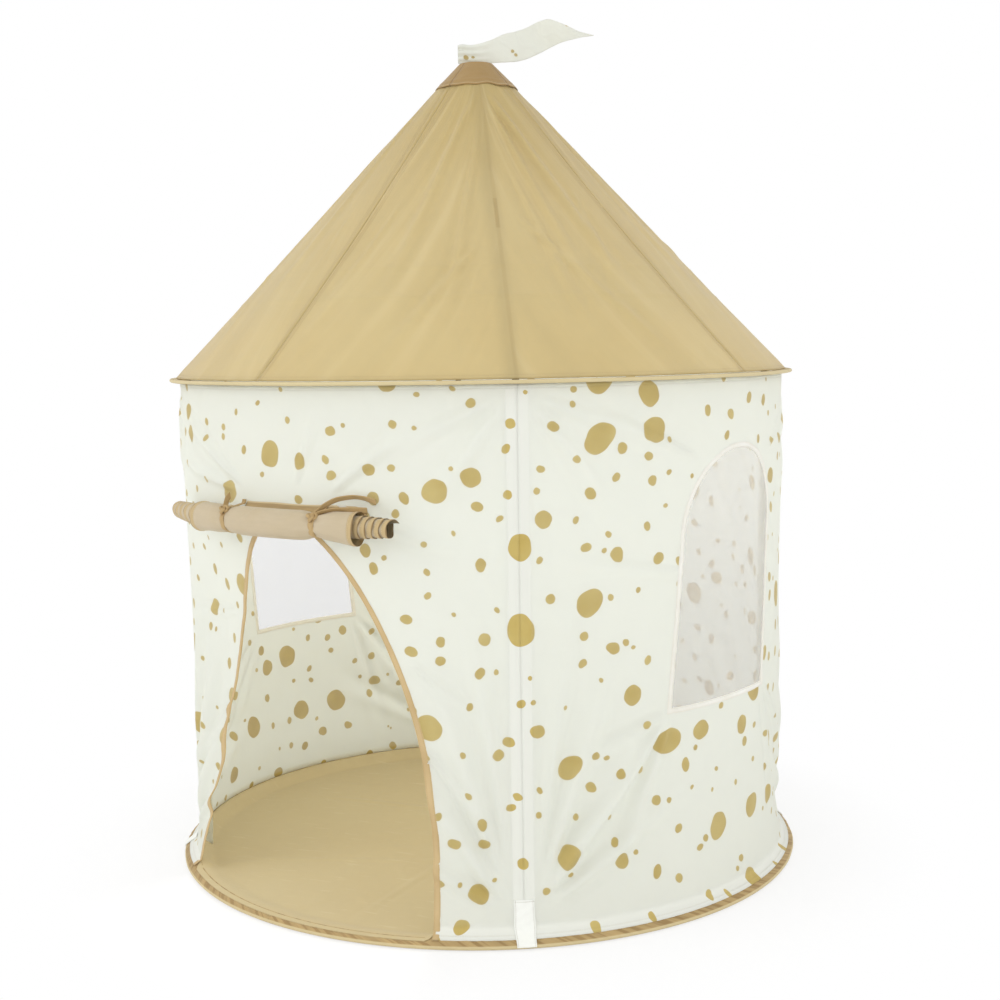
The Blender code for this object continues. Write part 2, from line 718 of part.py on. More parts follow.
def make_cap():
    """The doubled cloth over the roof's point, flat on top."""
    inner_edge = CLEARANCE * ROOF_SLANT
    outer_edge = (CLEARANCE + CAP_CLOTH) * ROOF_SLANT
    hem = CROWN - CAP_DROP
    under = CROWN - CAP_CLOTH
    profile = [
        (0, CROWN),
        (CROWN_RADIUS + outer_edge - CAP_CLOTH * ROOF_SLOPE / 2, CROWN),
        (roof_radius(hem) + outer_edge, hem),
        (roof_radius(hem) + inner_edge, hem),
        (roof_radius(under) + inner_edge, under),
        (0, under),
    ]
    cap = keep(turned(profile, CAP_STEPS, False), "roof_cap", TAN_CAP, 0.8)
    smooth(cap)


def roll_spot(azimuth, distance, angle):
    """A point round the roll's curved axis: angle 0 is away from the wall and 90 is up."""
    turn = math.radians(angle)
    radius = ROLL_AXIS_RADIUS + distance * math.cos(turn)
    return spot(azimuth, radius, ROLL_HEIGHT + distance * math.sin(turn))


def pinched(azimuth):
    """The wound cloth's radius along the roll, drawn in under each tie."""
    radius = ROLL_RADIUS
    for tie in TIE_AZIMUTHS.values():
        away = abs(math.radians(azimuth - tie)) * ROLL_AXIS_RADIUS
        share = max(0, 1 - away / TIE_PINCH_WIDTH)
        radius = min(radius, ROLL_RADIUS * (1 - (1 - TIE_PINCH_SHARE) * share**0.5))
    return radius


def roll_stations():
    """(azimuth, radius) along the roll, from the bottom of one end's bore to that of the other."""
    end = math.degrees(ROLL_LENGTH / 2 / ROLL_AXIS_RADIUS)
    wrap = math.degrees(ROLL_WRAP_LENGTH / 2 / ROLL_AXIS_RADIUS)
    bore = math.degrees(ROLL_BORE_DEPTH / ROLL_AXIS_RADIUS)
    hair = math.degrees(CLEARANCE / ROLL_AXIS_RADIUS)
    side = [(end - bore, ROLL_BORE_RADIUS), (end, ROLL_BORE_RADIUS)]
    for i in range(ROLL_WRAPS):
        share = i / ROLL_WRAPS
        radius = ROLL_CORE_RADIUS + share * (ROLL_RADIUS - ROLL_CORE_RADIUS)
        far = end - share * (end - wrap)
        near = end - (i + 1) / ROLL_WRAPS * (end - wrap)
        side += [(far, radius), (near + hair, radius)]
    pinch = math.degrees(TIE_PINCH_WIDTH / ROLL_AXIS_RADIUS)
    middle = [-wrap, wrap, 0.3 * wrap]
    for tie in TIE_AZIMUTHS.values():
        middle += [tie + pinch * share for share in (-1, -0.4, 0, 0.4, 1)]
    run = [(azimuth, pinched(azimuth)) for azimuth in sorted(middle)]
    left = [(-azimuth, radius) for azimuth, radius in side]
    return left + run + side[::-1]


def make_roll():
    """The rolled cloth, with its hem up to the seam over the doorway."""
    shape = bmesh.new()
    rings = []
    for azimuth, radius in roll_stations():
        ring = []
        for i in range(ROLL_SIDES):
            share = i / (ROLL_SIDES - 1)
            angle = 200 + 360 * i / ROLL_SIDES
            ring.append(shape.verts.new(roll_spot(azimuth, radius * (1 - ROLL_LEDGE_SHARE * share), angle)))
        rings.append(ring)
    for first, second in zip(rings, rings[1:]):
        for i in range(ROLL_SIDES):
            j = (i + 1) % ROLL_SIDES
            shape.faces.new((first[i], first[j], second[j], second[i]))
    shape.faces.new(rings[0])
    shape.faces.new(rings[-1])
    bmesh.ops.recalc_face_normals(shape, faces=shape.faces)
    mesh = bpy.data.meshes.new("Roll")
    shape.to_mesh(mesh)
    shape.free()
    roll = bpy.data.objects.new("Roll", mesh)
    bpy.context.scene.collection.objects.link(roll)
    keep(roll, "door_roll", TAN_DOOR, 0.85, origin="door_swing")
    smooth(roll)
    boolean(roll, set_aside(make_hem(), "hem"), "UNION")


def hem_face(height):
    """Radius of the hem's middle where it lies on the wall."""
    return wall_radius(height) + CLEARANCE + DOOR_CLOTH / 2


def make_hem():
    """The strip of door cloth between the seam and the roll."""
    path = [
        (hem_face(DOOR_SEAM_HEIGHT), DOOR_SEAM_HEIGHT),
        (hem_face(HEM_FOOT), HEM_FOOT),
        (ROLL_AXIS_RADIUS - ROLL_RADIUS / 3, ROLL_HEIGHT + ROLL_RADIUS / 2),
    ]
    count = round(2 * DOOR_SEAM_HALF_SPAN / DOOR_SEAM_STEP)
    azimuths = [DOOR_SEAM_STEP * i - DOOR_SEAM_HALF_SPAN for i in range(count + 1)]

    def place(azimuth, row):
        radius, height = path[row]
        return spot(azimuth, radius, height)

    return cloth_sheet(azimuths, range(len(path)), place, DOOR_CLOTH)


def make_tie(side, azimuth):
    """A tape from the seam over the roll's front and under it, with its knot and tails."""
    distance = ROLL_RADIUS * TIE_PINCH_SHARE + CLEARANCE + TIE_CLOTH / 2
    distance = max(distance, ROLL_RADIUS * TIE_PINCH_SHARE / math.cos(math.pi / TIE_STEPS) + TIE_CLOTH / 2)
    over = CLEARANCE + DOOR_CLOTH / 2 + TIE_CLOTH / 2
    path = [(hem_face(height) + over, height) for height in (DOOR_SEAM_HEIGHT, HEM_FOOT + TIE_CLOTH)]
    for i in range(TIE_STEPS + 1):
        turn = math.radians(TIE_WRAP_FROM + (TIE_WRAP_TO - TIE_WRAP_FROM) * i / TIE_STEPS)
        path.append((ROLL_AXIS_RADIUS + distance * math.cos(turn), ROLL_HEIGHT + distance * math.sin(turn)))

    def place(across, row):
        radius, height = path[row]
        return outward(azimuth) * radius + sideways(azimuth) * across + Vector((0, 0, height))

    columns = [-TIE_WIDTH / 2, 0, TIE_WIDTH / 2]
    tie = cloth_sheet(columns, range(len(path)), place, TIE_CLOTH)
    keep(tie, "tie_" + side, TAN_DOOR, 0.85, origin="door_swing")
    lift = distance + KNOT_DEPTH / 2
    bpy.ops.mesh.primitive_uv_sphere_add(segments=10, ring_count=6, radius=0.5)
    knot = bpy.context.object
    knot.scale = (KNOT_WIDTH, KNOT_DEPTH, KNOT_HEIGHT)
    knot.rotation_euler = (math.radians(-45), 0, math.radians(azimuth))
    knot.location = roll_spot(azimuth, lift, 45)
    bpy.context.view_layer.update()
    boolean(tie, set_aside(knot, "knot_" + side), "UNION")
    for i, length in enumerate(TAIL_LENGTHS[side]):
        tail = make_tail(azimuth, length, lift)
        boolean(tie, set_aside(tail, "tail_%s_%d" % (side, i)), "UNION")


def make_tail(azimuth, length, lift):
    """A loose end of the tie: from inside its knot along the roll's top, towards one side."""
    rest = ROLL_RADIUS + 2 * CLEARANCE + TIE_CLOTH

    def place(share, across):
        turn = azimuth + math.degrees(length * share / ROLL_AXIS_RADIUS)
        ease = min(1, 3 * share)
        distance = lift + (rest - lift) * ease
        middle = roll_spot(turn, distance, 45 + 30 * ease)
        along = outward(turn) * -math.sin(math.radians(45 + 30 * ease))
        along.z = math.cos(math.radians(45 + 30 * ease))
        return middle + along * across

    shares = [i / TAIL_STEPS for i in range(TAIL_STEPS + 1)]
    return cloth_sheet(shares, [-TIE_WIDTH / 2, TIE_WIDTH / 2], place, TIE_CLOTH)


def between(share, shares, values):
    """Straight-line reading of a table of shares."""
    for i in range(len(shares) - 1):
        if share <= shares[i + 1]:
            step = (share - shares[i]) / (shares[i + 1] - shares[i])
            return values[i] + step * (values[i + 1] - values[i])
    return values[-1]


def make_flag():
    """A waving leaf of cloth that stands on the crown and points away from the axis."""
    base = CROWN + CLEARANCE

    def place(share, row):
        bottom = between(share, FLAG_STATION_SHARES, FLAG_BOTTOM_SHARES) * FLAG_HEIGHT
        top = between(share, FLAG_STATION_SHARES, FLAG_TOP_SHARES) * FLAG_HEIGHT
        wave = FLAG_WAVE_DEPTH * math.sin(2 * math.pi * FLAG_WAVES * share + 1.2 * row) * share**0.5
        run = outward(FLAG_AZIMUTH) * (FLAG_LENGTH * share - FLAG_BEHIND_AXIS)
        return run + sideways(FLAG_AZIMUTH) * wave + Vector((0, 0, base + bottom + row * (top - bottom)))

    rows = [i / FLAG_ROWS for i in range(FLAG_ROWS + 1)]
    flag = cloth_sheet(FLAG_STATION_SHARES, rows, place, FLAG_CLOTH)
    keep(flag, "flag", CREAM, 0.9, origin="flag_swing")


def pivot(name, place):
    """An empty on a joint's axis, which carries the pieces that turn there."""
    empty = bpy.data.objects.new(name, None)
    empty.empty_display_size = ROLL_RADIUS
    empty.location = place
    bpy.data.collections["PlayTent"].objects.link(empty)
    bpy.context.view_layer.update()


def main():
    for obj in list(bpy.data.objects):
        bpy.data.objects.remove(obj)
    for name in ("PlayTent", "Cutters"):
        bpy.context.scene.collection.children.link(bpy.data.collections.new(name))
    pivot("door_swing", spot(0, hem_face(DOOR_SEAM_HEIGHT), DOOR_SEAM_HEIGHT))
    pivot("flag_swing", (0, 0, CROWN))
    make_base()
    make_eave()
    make_walls()
    for corner, azimuth in POLE_AZIMUTHS.items():
        make_pole(corner, azimuth)
        make_sleeve(corner, azimuth)
        make_patch(corner, azimuth)
        make_gore(corner, azimuth)
    make_hub()
    make_cap()
    make_roll()
    for side, azimuth in TIE_AZIMUTHS.items():
        make_tie(side, azimuth)
    make_flag()


main()
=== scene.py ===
"""A round play tent for a child, dressed over its packed frame.

Each cloth piece stands for one node of the frame: four walls, four roof quarters
and the doubled cap, the floor, the hoop sleeves, the rolled door with its ties,
the window nets, the bindings and the flag. The poles are drawn round.

Metres, +Z up. The origin is on the ground on the tent's axis and the doorway
faces -Y. Azimuths are degrees from -Y towards +X.
"""

import math
from math import pi

import bmesh
import bpy
import numpy as np
from mathutils import Matrix, Vector


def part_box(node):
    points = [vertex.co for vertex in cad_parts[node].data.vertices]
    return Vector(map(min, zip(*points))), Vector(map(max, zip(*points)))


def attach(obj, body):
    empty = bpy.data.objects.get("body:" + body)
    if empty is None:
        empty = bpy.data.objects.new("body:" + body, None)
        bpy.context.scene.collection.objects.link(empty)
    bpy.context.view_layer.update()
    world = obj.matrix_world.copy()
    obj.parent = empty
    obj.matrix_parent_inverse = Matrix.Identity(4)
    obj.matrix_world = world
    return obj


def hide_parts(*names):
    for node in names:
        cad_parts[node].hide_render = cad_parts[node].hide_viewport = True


bl_info = {
    "name": "Play tent",
    "version": (1, 0, 0),
    "blender": (4, 5, 0),
    "location": "View3D > Sidebar > Play tent",
    "description": "Dresses the packed frame of a round play tent in its cloth",
    "category": "Object",
}

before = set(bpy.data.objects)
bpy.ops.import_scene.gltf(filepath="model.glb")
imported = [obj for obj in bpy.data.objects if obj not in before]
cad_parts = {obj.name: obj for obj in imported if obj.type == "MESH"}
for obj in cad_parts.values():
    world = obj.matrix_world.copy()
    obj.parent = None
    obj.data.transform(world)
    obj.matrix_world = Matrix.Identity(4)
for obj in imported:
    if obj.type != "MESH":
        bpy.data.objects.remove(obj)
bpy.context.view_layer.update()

# Heights and radii read from the frame
BASE_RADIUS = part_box("base_band")[1].x
EAVE_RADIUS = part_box("eave_band")[1].x
EAVE_BOTTOM, EAVE_TOP = (corner.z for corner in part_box("eave_band"))
WALL_FOOT, WALL_HEAD = (corner.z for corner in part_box("wall_back"))
ROOF_FOOT = EAVE_TOP + 0.0003
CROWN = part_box("roof_cap")[1].z

# Sizes of the sewn shapes, as the frame has them
WALL_TOP_RADIUS, WALL_FOOT_RADIUS, WALL_SEAT_RADIUS = 0.508, 0.499, 0.5105
FLARE_HEIGHT = 0.080
WALL_HEM = 0.0125
ROOF_EAVE_RADIUS, CROWN_RADIUS = 0.515, 0.027
ROOF_SAG = 0.010
CAP_DROP = 0.043
ROOF_SLOPE = (ROOF_EAVE_RADIUS - CROWN_RADIUS) / (CROWN - ROOF_FOOT)
ROOF_SLANT = math.hypot(1, ROOF_SLOPE)
DOOR_HALF_WIDTH, DOOR_SPRING, DOOR_TOP = 0.252, 0.120, 0.622
DOOR_DRAWN_IN, DOOR_DRAWN_SPAN, DOOR_DRAWN_HEIGHT = 0.064, 0.10, 0.450
DOOR_SLACK, DOOR_SLACK_FOOT = 0.045, 0.040
WINDOW_HALF_WIDTH, WINDOW_SILL, WINDOW_TOP = 0.118, 0.322, 0.700
WINDOW_SPRING = WINDOW_TOP - WINDOW_HALF_WIDTH
WINDOW_LEAN = 0.035 / (WINDOW_TOP - WINDOW_SILL)
BINDING_WIDTH = 0.0085
ROLL_HEIGHT, ROLL_AXIS_RADIUS = 0.610, 0.5316
TIES = {"left": (-5, 0.14), "right": (13, 0.27)}  # azimuth, and how much it draws the roll in
FLAG_AZIMUTH = 129.5
WALL_AZIMUTHS = {"front": 0, "right": 90, "back": 180, "left": 270}
POLE_AZIMUTHS = {"front_right": 45, "back_right": 135, "back_left": 225, "front_left": 315}

# The cloth maps' own sizes, and how far the middle of a laid sheet stands off
WALL_MAP_RADIUS = 0.505
DOOR_MAP_RADIUS = 0.503
WALL_SEAM = 0.3967  # metres from a wall's middle to its seams
ROOF_RUN = 0.711  # metres up a roof quarter
ROOF_HEAD = 0.012  # the quarters end this far under the crown
CAP_GIRTH = 0.51
SKIN = 0.00075
STITCH = 0.0034
WEAVE = 0.0011
SLEEVE_CLOTH, TAB_CLOTH = 0.0009, 0.0007
SLEEVE_FOOT, SLEEVE_HEAD = 0.004, 0.740
FERRULE_LOW, FERRULE_HIGH = 1.034, 1.082  # where the painted shadow of the roof's ferrules lies on it
PEBBLE_LEAST = 0.0021  # the radius under which none is printed
PEBBLE_GAP = 0.006


# ---------------------------------------------------------------- shapes


def sizes(group):
    """The scene's settings of one group of pieces."""
    return getattr(bpy.context.scene, "tent_" + group)


def together(*parts):
    """Arrays stretched to one shape and set side by side: points, or places on the cloth."""
    return np.stack(np.broadcast_arrays(*parts), axis=-1)


def around(azimuth, radius, height):
    """Points at azimuths, radii and heights: (r sin a, -r cos a, h)."""
    turn = np.radians(azimuth)
    return together(radius * np.sin(turn), -radius * np.cos(turn), height).astype(float)


def eased(share):
    """A smooth rise from 0 to 1: 3s^2 - 2s^3, with s held from 0 to 1."""
    share = np.clip(share, 0, 1)
    return share * share * (3 - 2 * share)


def bump(value, width):
    """A soft hill of height 1 round 0: e^-(value/width)^2."""
    return np.exp(-((value / width) ** 2))


def lengths(line):
    """Metres along a line of points, 0 at its start."""
    steps = np.linalg.norm(np.diff(line, axis=0), axis=1)
    return np.concatenate([[0], np.cumsum(steps)])


def ripple(seed, count, low, high):
    """A smooth random function: the mean of count sines whose wave numbers, per metre, lie
    from low to high."""
    dice = np.random.default_rng(seed)
    turns = dice.uniform(0, 2 * pi, count)
    ways = dice.uniform(0, 2 * pi, count)
    waves = dice.uniform(low, high, count) * 2 * pi

    def wave(x, y=0.0):
        total = 0
        for turn, way, number in zip(turns, ways, waves):
            total = total + np.sin(number * (x * math.cos(way) + y * math.sin(way)) + turn)
        return total / count

    return wave


def folded(s, h, rows):
    """The sum of folds, each from one point to another: a ridge between two valleys whose width
    grows along it, fading at both ends. A row holds both ends' (s, h), a width and a depth."""
    push = np.zeros(np.broadcast(s, h).shape)
    for s0, h0, s1, h1, width, depth in rows:
        way = (s1 - s0, h1 - h0)
        length = math.hypot(*way)
        along = ((s - s0) * way[0] + (h - h0) * way[1]) / length**2
        off = ((s - s0) * way[1] - (h - h0) * way[0]) / length
        wide = width * (0.3 + 0.7 * np.clip(along, 0, 1))
        fade = eased(along / 0.16) * eased((1 - along) / 0.45)
        hill = bump(off, wide) - 0.55 * bump(off - 1.5 * wide, wide)
        push = push + depth * fade * (hill - 0.3 * bump(off + 1.7 * wide, wide))
    return push


def squares(rows, columns, ring_rows=False, ring_columns=False):
    """Corner numbers of a grid's squares, and the same corners numbered on a map that doesn't
    close on itself."""
    down = np.arange(rows if ring_rows else rows - 1)[:, None]
    across = np.arange(columns if ring_columns else columns - 1)[None, :]
    corners, mapped = [], []
    wide = columns + 1 if ring_columns else columns
    for i, j in ((0, 0), (0, 1), (1, 1), (1, 0)):
        corners.append(((down + i) % rows) * columns + (across + j) % columns)
        mapped.append((down + i) * wide + across + j)
    return np.stack(corners, -1).reshape(-1, 4), np.stack(mapped, -1).reshape(-1, 4)


def placed(name, data):
    """A new object in the scene."""
    obj = bpy.data.objects.new(name, data)
    bpy.context.scene.collection.objects.link(obj)
    return obj


def reshape(mesh, step):
    """Runs one bmesh step on a mesh."""
    shape = bmesh.new()
    shape.from_mesh(mesh)
    step(shape)
    shape.to_mesh(mesh)
    shape.free()


def fix_normals(obj):
    """Turns every face of a closed shell outwards."""
    reshape(obj.data, lambda shape: bmesh.ops.recalc_face_normals(shape, faces=shape.faces))


def close_ends(obj):
    """Fills the open ends of a tube."""

    def fill(shape):
        rims = [edge for edge in shape.edges if edge.is_boundary]
        bmesh.ops.holes_fill(shape, edges=rims, sides=0)

    reshape(obj.data, fill)


def grid_object(name, points, cloth, kept=None, ring_rows=False, ring_columns=False, weld=False):
    """An object from a grid of points, shape (rows, columns, 3), and its cloth map in metres.
    A ring's map has one row or column more."""
    faces, mapped = squares(*points.shape[:2], ring_rows, ring_columns)
    if kept is not None:
        faces, mapped = faces[kept.ravel()], mapped[kept.ravel()]
    used, numbers = np.unique(faces, return_inverse=True)
    mesh = bpy.data.meshes.new(name)
    mesh.from_pydata(points.reshape(-1, 3)[used], [], numbers.reshape(-1, 4))
    layer = mesh.uv_layers.new(name="Cloth")
    places = cloth.reshape(-1, 2)[mapped.ravel()].astype(np.float32)
    layer.data.foreach_set("uv", places.ravel())
    if weld:
        reshape(mesh, lambda shape: bmesh.ops.remove_doubles(shape, verts=shape.verts, dist=1e-6))
    mesh.polygons.foreach_set("use_smooth", np.ones(len(mesh.polygons), bool))
    mesh.update()
    return placed(name, mesh)


def joined(name, objects):
    """One object from several, with their maps."""
    shape = bmesh.new()
    for obj in objects:
        shape.from_mesh(obj.data)
    mesh = bpy.data.meshes.new(name)
    shape.to_mesh(mesh)
    shape.free()
    for obj in objects:
        old = obj.data
        bpy.data.objects.remove(obj)
        bpy.data.meshes.remove(old)
    return placed(name, mesh)


def tube_grid(path, radius, sides):
    """Rings of a round bar: each path point plus radius times (cos, sin) in the plane across
    the path. radius may be one number or one for each point."""
    path = np.asarray(path, float)
    along = np.gradient(path, axis=0)
    along /= np.linalg.norm(along, axis=1)[:, None]
    helper = np.where(np.abs(along[:, 2:3]) > 0.95, [[1.0, 0, 0]], [[0, 0, 1.0]])
    first = np.cross(along, helper)
    first /= np.linalg.norm(first, axis=1)[:, None]
    second = np.cross(along, first)
    turn = np.linspace(0, 2 * pi, sides, endpoint=False)[None, :, None]
    size = np.broadcast_to(np.asarray(radius, float), (len(path),))[:, None, None]
    return path[:, None] + size * (np.cos(turn) * first[:, None] + np.sin(turn) * second[:, None])


def tube_object(name, path, radius, sides):
    """A closed round bar along a path, its ends drawn in to points on the axis."""
    first, last = (np.repeat(end[:, None], sides, 1) for end in (path[:1], path[-1:]))
    points = np.concatenate([first, tube_grid(path, radius, sides), last])
    run = lengths(np.concatenate([path[:1], path, path[-1:]]))
    girth = np.linspace(0, 2 * pi * radius.max(), sides + 1)
    cloth = together(girth[None, :], run[:, None])
    obj = grid_object(name, points, cloth, ring_columns=True, weld=True)
    fix_normals(obj)
    return obj


# ---------------------------------------------------------------- walls

# Folds of each wall: start and end as (metres from the wall's middle, height), width and depth.
# Each wall has a fan from the foot of each pole; then come the pulls at its opening.
FAN = (
    (-0.376, 0.052, -0.165, 0.340, 0.026, 0.0074),
    (-0.378, 0.056, -0.245, 0.450, 0.022, 0.0060),
    (-0.382, 0.060, -0.315, 0.520, 0.017, 0.0046),
    (-0.374, 0.046, -0.090, 0.225, 0.020, 0.0052),
    (0.376, 0.052, 0.185, 0.330, 0.026, 0.0074),
    (0.378, 0.056, 0.250, 0.460, 0.022, 0.0062),
    (0.382, 0.060, 0.320, 0.530, 0.017, 0.0046),
    (0.374, 0.046, 0.100, 0.200, 0.020, 0.0050),
    (-0.378, 0.782, -0.225, 0.590, 0.021, 0.0046),
    (0.378, 0.782, 0.235, 0.585, 0.021, 0.0046),
    (-0.370, 0.787, -0.130, 0.690, 0.017, 0.0034),
    (0.370, 0.787, 0.140, 0.680, 0.017, 0.0034),
)
PULLS = {
    "front": (
        (-0.040, 0.655, -0.300, 0.790, 0.014, 0.0042),
        (-0.055, 0.650, -0.360, 0.700, 0.013, 0.0038),
        (0.118, 0.650, 0.290, 0.785, 0.013, 0.0036),
        (0.122, 0.640, 0.350, 0.560, 0.014, 0.0040),
        (0.060, 0.660, 0.110, 0.790, 0.012, 0.0024),
        (0.250, 0.300, 0.372, 0.120, 0.012, 0.0034),
        (0.235, 0.420, 0.370, 0.300, 0.012, 0.0026),
        (-0.200, 0.300, -0.370, 0.150, 0.016, 0.0044),
        (-0.150, 0.450, -0.372, 0.420, 0.016, 0.0036),
    ),
    "right": (
        (-0.159, 0.318, -0.368, 0.070, 0.018, 0.0054),
        (-0.155, 0.316, -0.270, 0.060, 0.016, 0.0040),
        (0.089, 0.318, 0.362, 0.080, 0.018, 0.0054),
        (0.083, 0.316, 0.180, 0.050, 0.016, 0.0040),
        (-0.157, 0.322, -0.340, 0.250, 0.016, 0.0036),
        (-0.100, 0.690, -0.330, 0.785, 0.012, 0.0030),
        (0.100, 0.690, 0.330, 0.785, 0.012, 0.0030),
        (-0.125, 0.520, -0.370, 0.560, 0.015, 0.0024),
    ),
    "back": (
        (-0.050, 0.780, -0.330, 0.400, 0.015, 0.0030),
        (0.080, 0.780, 0.350, 0.380, 0.015, 0.0030),
        (0.000, 0.040, 0.110, 0.380, 0.016, 0.0028),
        (-0.060, 0.050, -0.200, 0.460, 0.016, 0.0026),
    ),
    "left": (
        (-0.159, 0.318, -0.366, 0.080, 0.018, 0.0050),
        (0.085, 0.316, 0.255, 0.060, 0.016, 0.0040),
        (0.089, 0.318, 0.365, 0.070, 0.018, 0.0050),
        (-0.153, 0.316, -0.230, 0.055, 0.016, 0.0036),
        (-0.100, 0.690, -0.320, 0.785, 0.012, 0.0030),
        (0.100, 0.690, 0.340, 0.780, 0.012, 0.0030),
    ),
}


def wall_line(height):
    """Radius of a straight wall between its foot and its head."""
    share = (height - WALL_FOOT) / (WALL_HEAD - WALL_FOOT)
    return WALL_FOOT_RADIUS + share * (WALL_TOP_RADIUS - WALL_FOOT_RADIUS)


def wall_taper(height):
    """Outer radius of the smooth wall: a straight taper, plus the square of the share left
    below the flare's top, plus the slope of its hem over the base sleeve."""
    low = np.clip(1 - (height - WALL_FOOT) / FLARE_HEIGHT, 0, 1)
    hem = np.clip(WALL_FOOT - height, 0, 1) * 1.55
    return wall_line(height) + low**2 * (WALL_SEAT_RADIUS - WALL_FOOT_RADIUS) + hem


def door_slack(azimuth, height):
    """How far the free edge left of the doorway hangs in: a half sine up the doorway, most
    beside it."""
    share = np.clip((height - DOOR_SLACK_FOOT) / (DOOR_TOP - DOOR_SLACK_FOOT), 0, 1)
    up = np.sin(pi * share**1.25)
    return DOOR_SLACK * up * eased((azimuth + 43) / 18) * eased(1 - azimuth / TIES["right"][0])


def wall_face(side, azimuth, height):
    """Outer radius of a wall's cloth at azimuths from its own middle: the taper, its folds, three
    random waves of which the finest lies along its hem and head, and a slight ridge over each
    pole."""
    s = np.radians(azimuth) * WALL_MAP_RADIUS
    seed = WALL_AZIMUTHS[side]
    push = folded(s, height, FAN + PULLS[side])
    slow = ripple(10 + seed, 9, 2.0, 6.5)(s, height * 0.6)
    fine = ripple(50 + seed, 12, 9.0, 20.0)(s, height * 0.7)
    puckers = ripple(90 + seed, 8, 25.0, 60.0)(s, 0.15 * height)
    edge = bump(height - WALL_HEAD, 0.030) + bump(height - WALL_FOOT, 0.022)
    push = push + 0.0016 * slow + 0.0005 * fine + 0.0011 * edge * puckers
    inside = eased((WALL_SEAM - np.abs(s)) / 0.034)
    ends = eased((height - WALL_FOOT) / 0.030) * eased((WALL_HEAD - height) / 0.020)
    ridge = 0.0009 * bump(np.abs(s) - WALL_SEAM, 0.010) * ends
    radius = wall_taper(height) + sizes("walls").fold_depth * push * inside * ends + ridge
    return radius - door_slack(azimuth, height) if side == "front" else radius


def wall_point(side, azimuth, height, out=0.0):
    """Points on a wall's outer face, moved out from it."""
    return around(WALL_AZIMUTHS[side] + azimuth, wall_face(side, azimuth, height) + out, height)


def door_shift(across, height):
    """How far the slack cloth draws the doorway's left side to the right."""
    left = eased(0.5 - across / (2 * DOOR_DRAWN_SPAN))
    return DOOR_DRAWN_IN * left * np.clip(height / DOOR_DRAWN_HEIGHT, 0, 1) ** 1.2


def door_outline(share, grow):
    """(azimuth, height) of the doorway's edge from its right foot over to its left foot: upright
    sides under half an ellipse, grown by a distance and its left side drawn in."""
    share, grow = np.broadcast_arrays(share, grow)
    rise = np.clip(share / 0.1, 0, 1)
    drop = np.clip((share - 0.9) / 0.1, 0, 1)
    turn = pi * np.clip((share - 0.1) / 0.8, 0, 1)
    arch = (DOOR_TOP + grow - DOOR_SPRING) * np.sin(turn)
    height = WALL_HEM + (DOOR_SPRING - WALL_HEM) * (rise - drop) + arch
    across = (DOOR_HALF_WIDTH + grow) * np.cos(turn)
    across = across + door_shift(across, height)
    return np.degrees(np.arcsin(across / DOOR_MAP_RADIUS)), height


def door_edge(azimuth, height, grow):
    """About how many metres a point of the front wall is outside the doorway."""
    x = DOOR_MAP_RADIUS * np.sin(np.radians(azimuth))
    even = x
    for _ in range(14):
        even = x - door_shift(even, height)
    wide, tall = DOOR_HALF_WIDTH + grow, DOOR_TOP + grow - DOOR_SPRING
    bow = np.hypot(even / wide, (height - DOOR_SPRING) / tall)
    return np.where(height > DOOR_SPRING, bow - 1, np.abs(even) / wide - 1) * wide


def window_outline(share, grow):
    """(azimuth, height) of a window's edge, once round from the sill's right end: two sides, a
    round head and a straight sill, sheared by a lean that grows downwards."""
    share, grow = np.broadcast_arrays(share, grow)
    wide, sill = WINDOW_HALF_WIDTH + grow, WINDOW_SILL - grow
    starts = ((0, 0.22), (0.22, 0.34), (0.56, 0.22), (0.78, 0.22))
    rise, head, drop, back = (np.clip((share - start) / span, 0, 1) for start, span in starts)
    turn = pi * head
    height = sill + (WINDOW_SPRING - sill) * (rise - drop) + wide * np.sin(turn)
    across = wide * np.cos(turn) + 2 * wide * back - WINDOW_LEAN * (WINDOW_TOP - height)
    return np.degrees(np.arcsin(np.clip(across, -0.4, 0.4) / WALL_MAP_RADIUS)), height


def window_edge(azimuth, height, grow):
    """About how many metres a point of a side wall is outside its window."""
    x = WALL_MAP_RADIUS * np.sin(np.radians(azimuth)) + WINDOW_LEAN * (WINDOW_TOP - height)
    wide = WINDOW_HALF_WIDTH + grow
    box = np.maximum(np.abs(x) - wide, WINDOW_SILL - grow - height)
    return np.where(height > WINDOW_SPRING, np.hypot(x, height - WINDOW_SPRING) - wide, box)


def trimmed(azimuth, height, edge):
    """A grid's azimuths and heights with the points beside an opening moved onto its edge, and
    which squares stay. edge(azimuth, height) is positive where the cloth stays."""

    def corners(grid):
        return np.stack([grid[:-1, :-1], grid[1:, :-1], grid[:-1, 1:], grid[1:, 1:]])

    kept = corners(edge(azimuth, height)).sum(0) > 0
    beside = corners(np.pad(kept, 1, mode="edge"))
    on_edge = beside.any(0) & ~beside.all(0)
    azimuth, height = azimuth.copy(), height.copy()
    for _ in range(5):
        a, h = azimuth[on_edge], height[on_edge]
        here = edge(a, h)
        by_a = (edge(a + 0.01, h) - here) / (math.radians(0.01) * WALL_MAP_RADIUS)
        by_h = (edge(a, h + 1e-4) - here) / 1e-4
        step = here / np.maximum(by_a**2 + by_h**2, 0.2)
        azimuth[on_edge] = a - np.degrees(step * by_a / WALL_MAP_RADIUS)
        height[on_edge] = np.clip(h - step * by_h, WALL_HEM, WALL_HEAD)
    return azimuth, height, kept


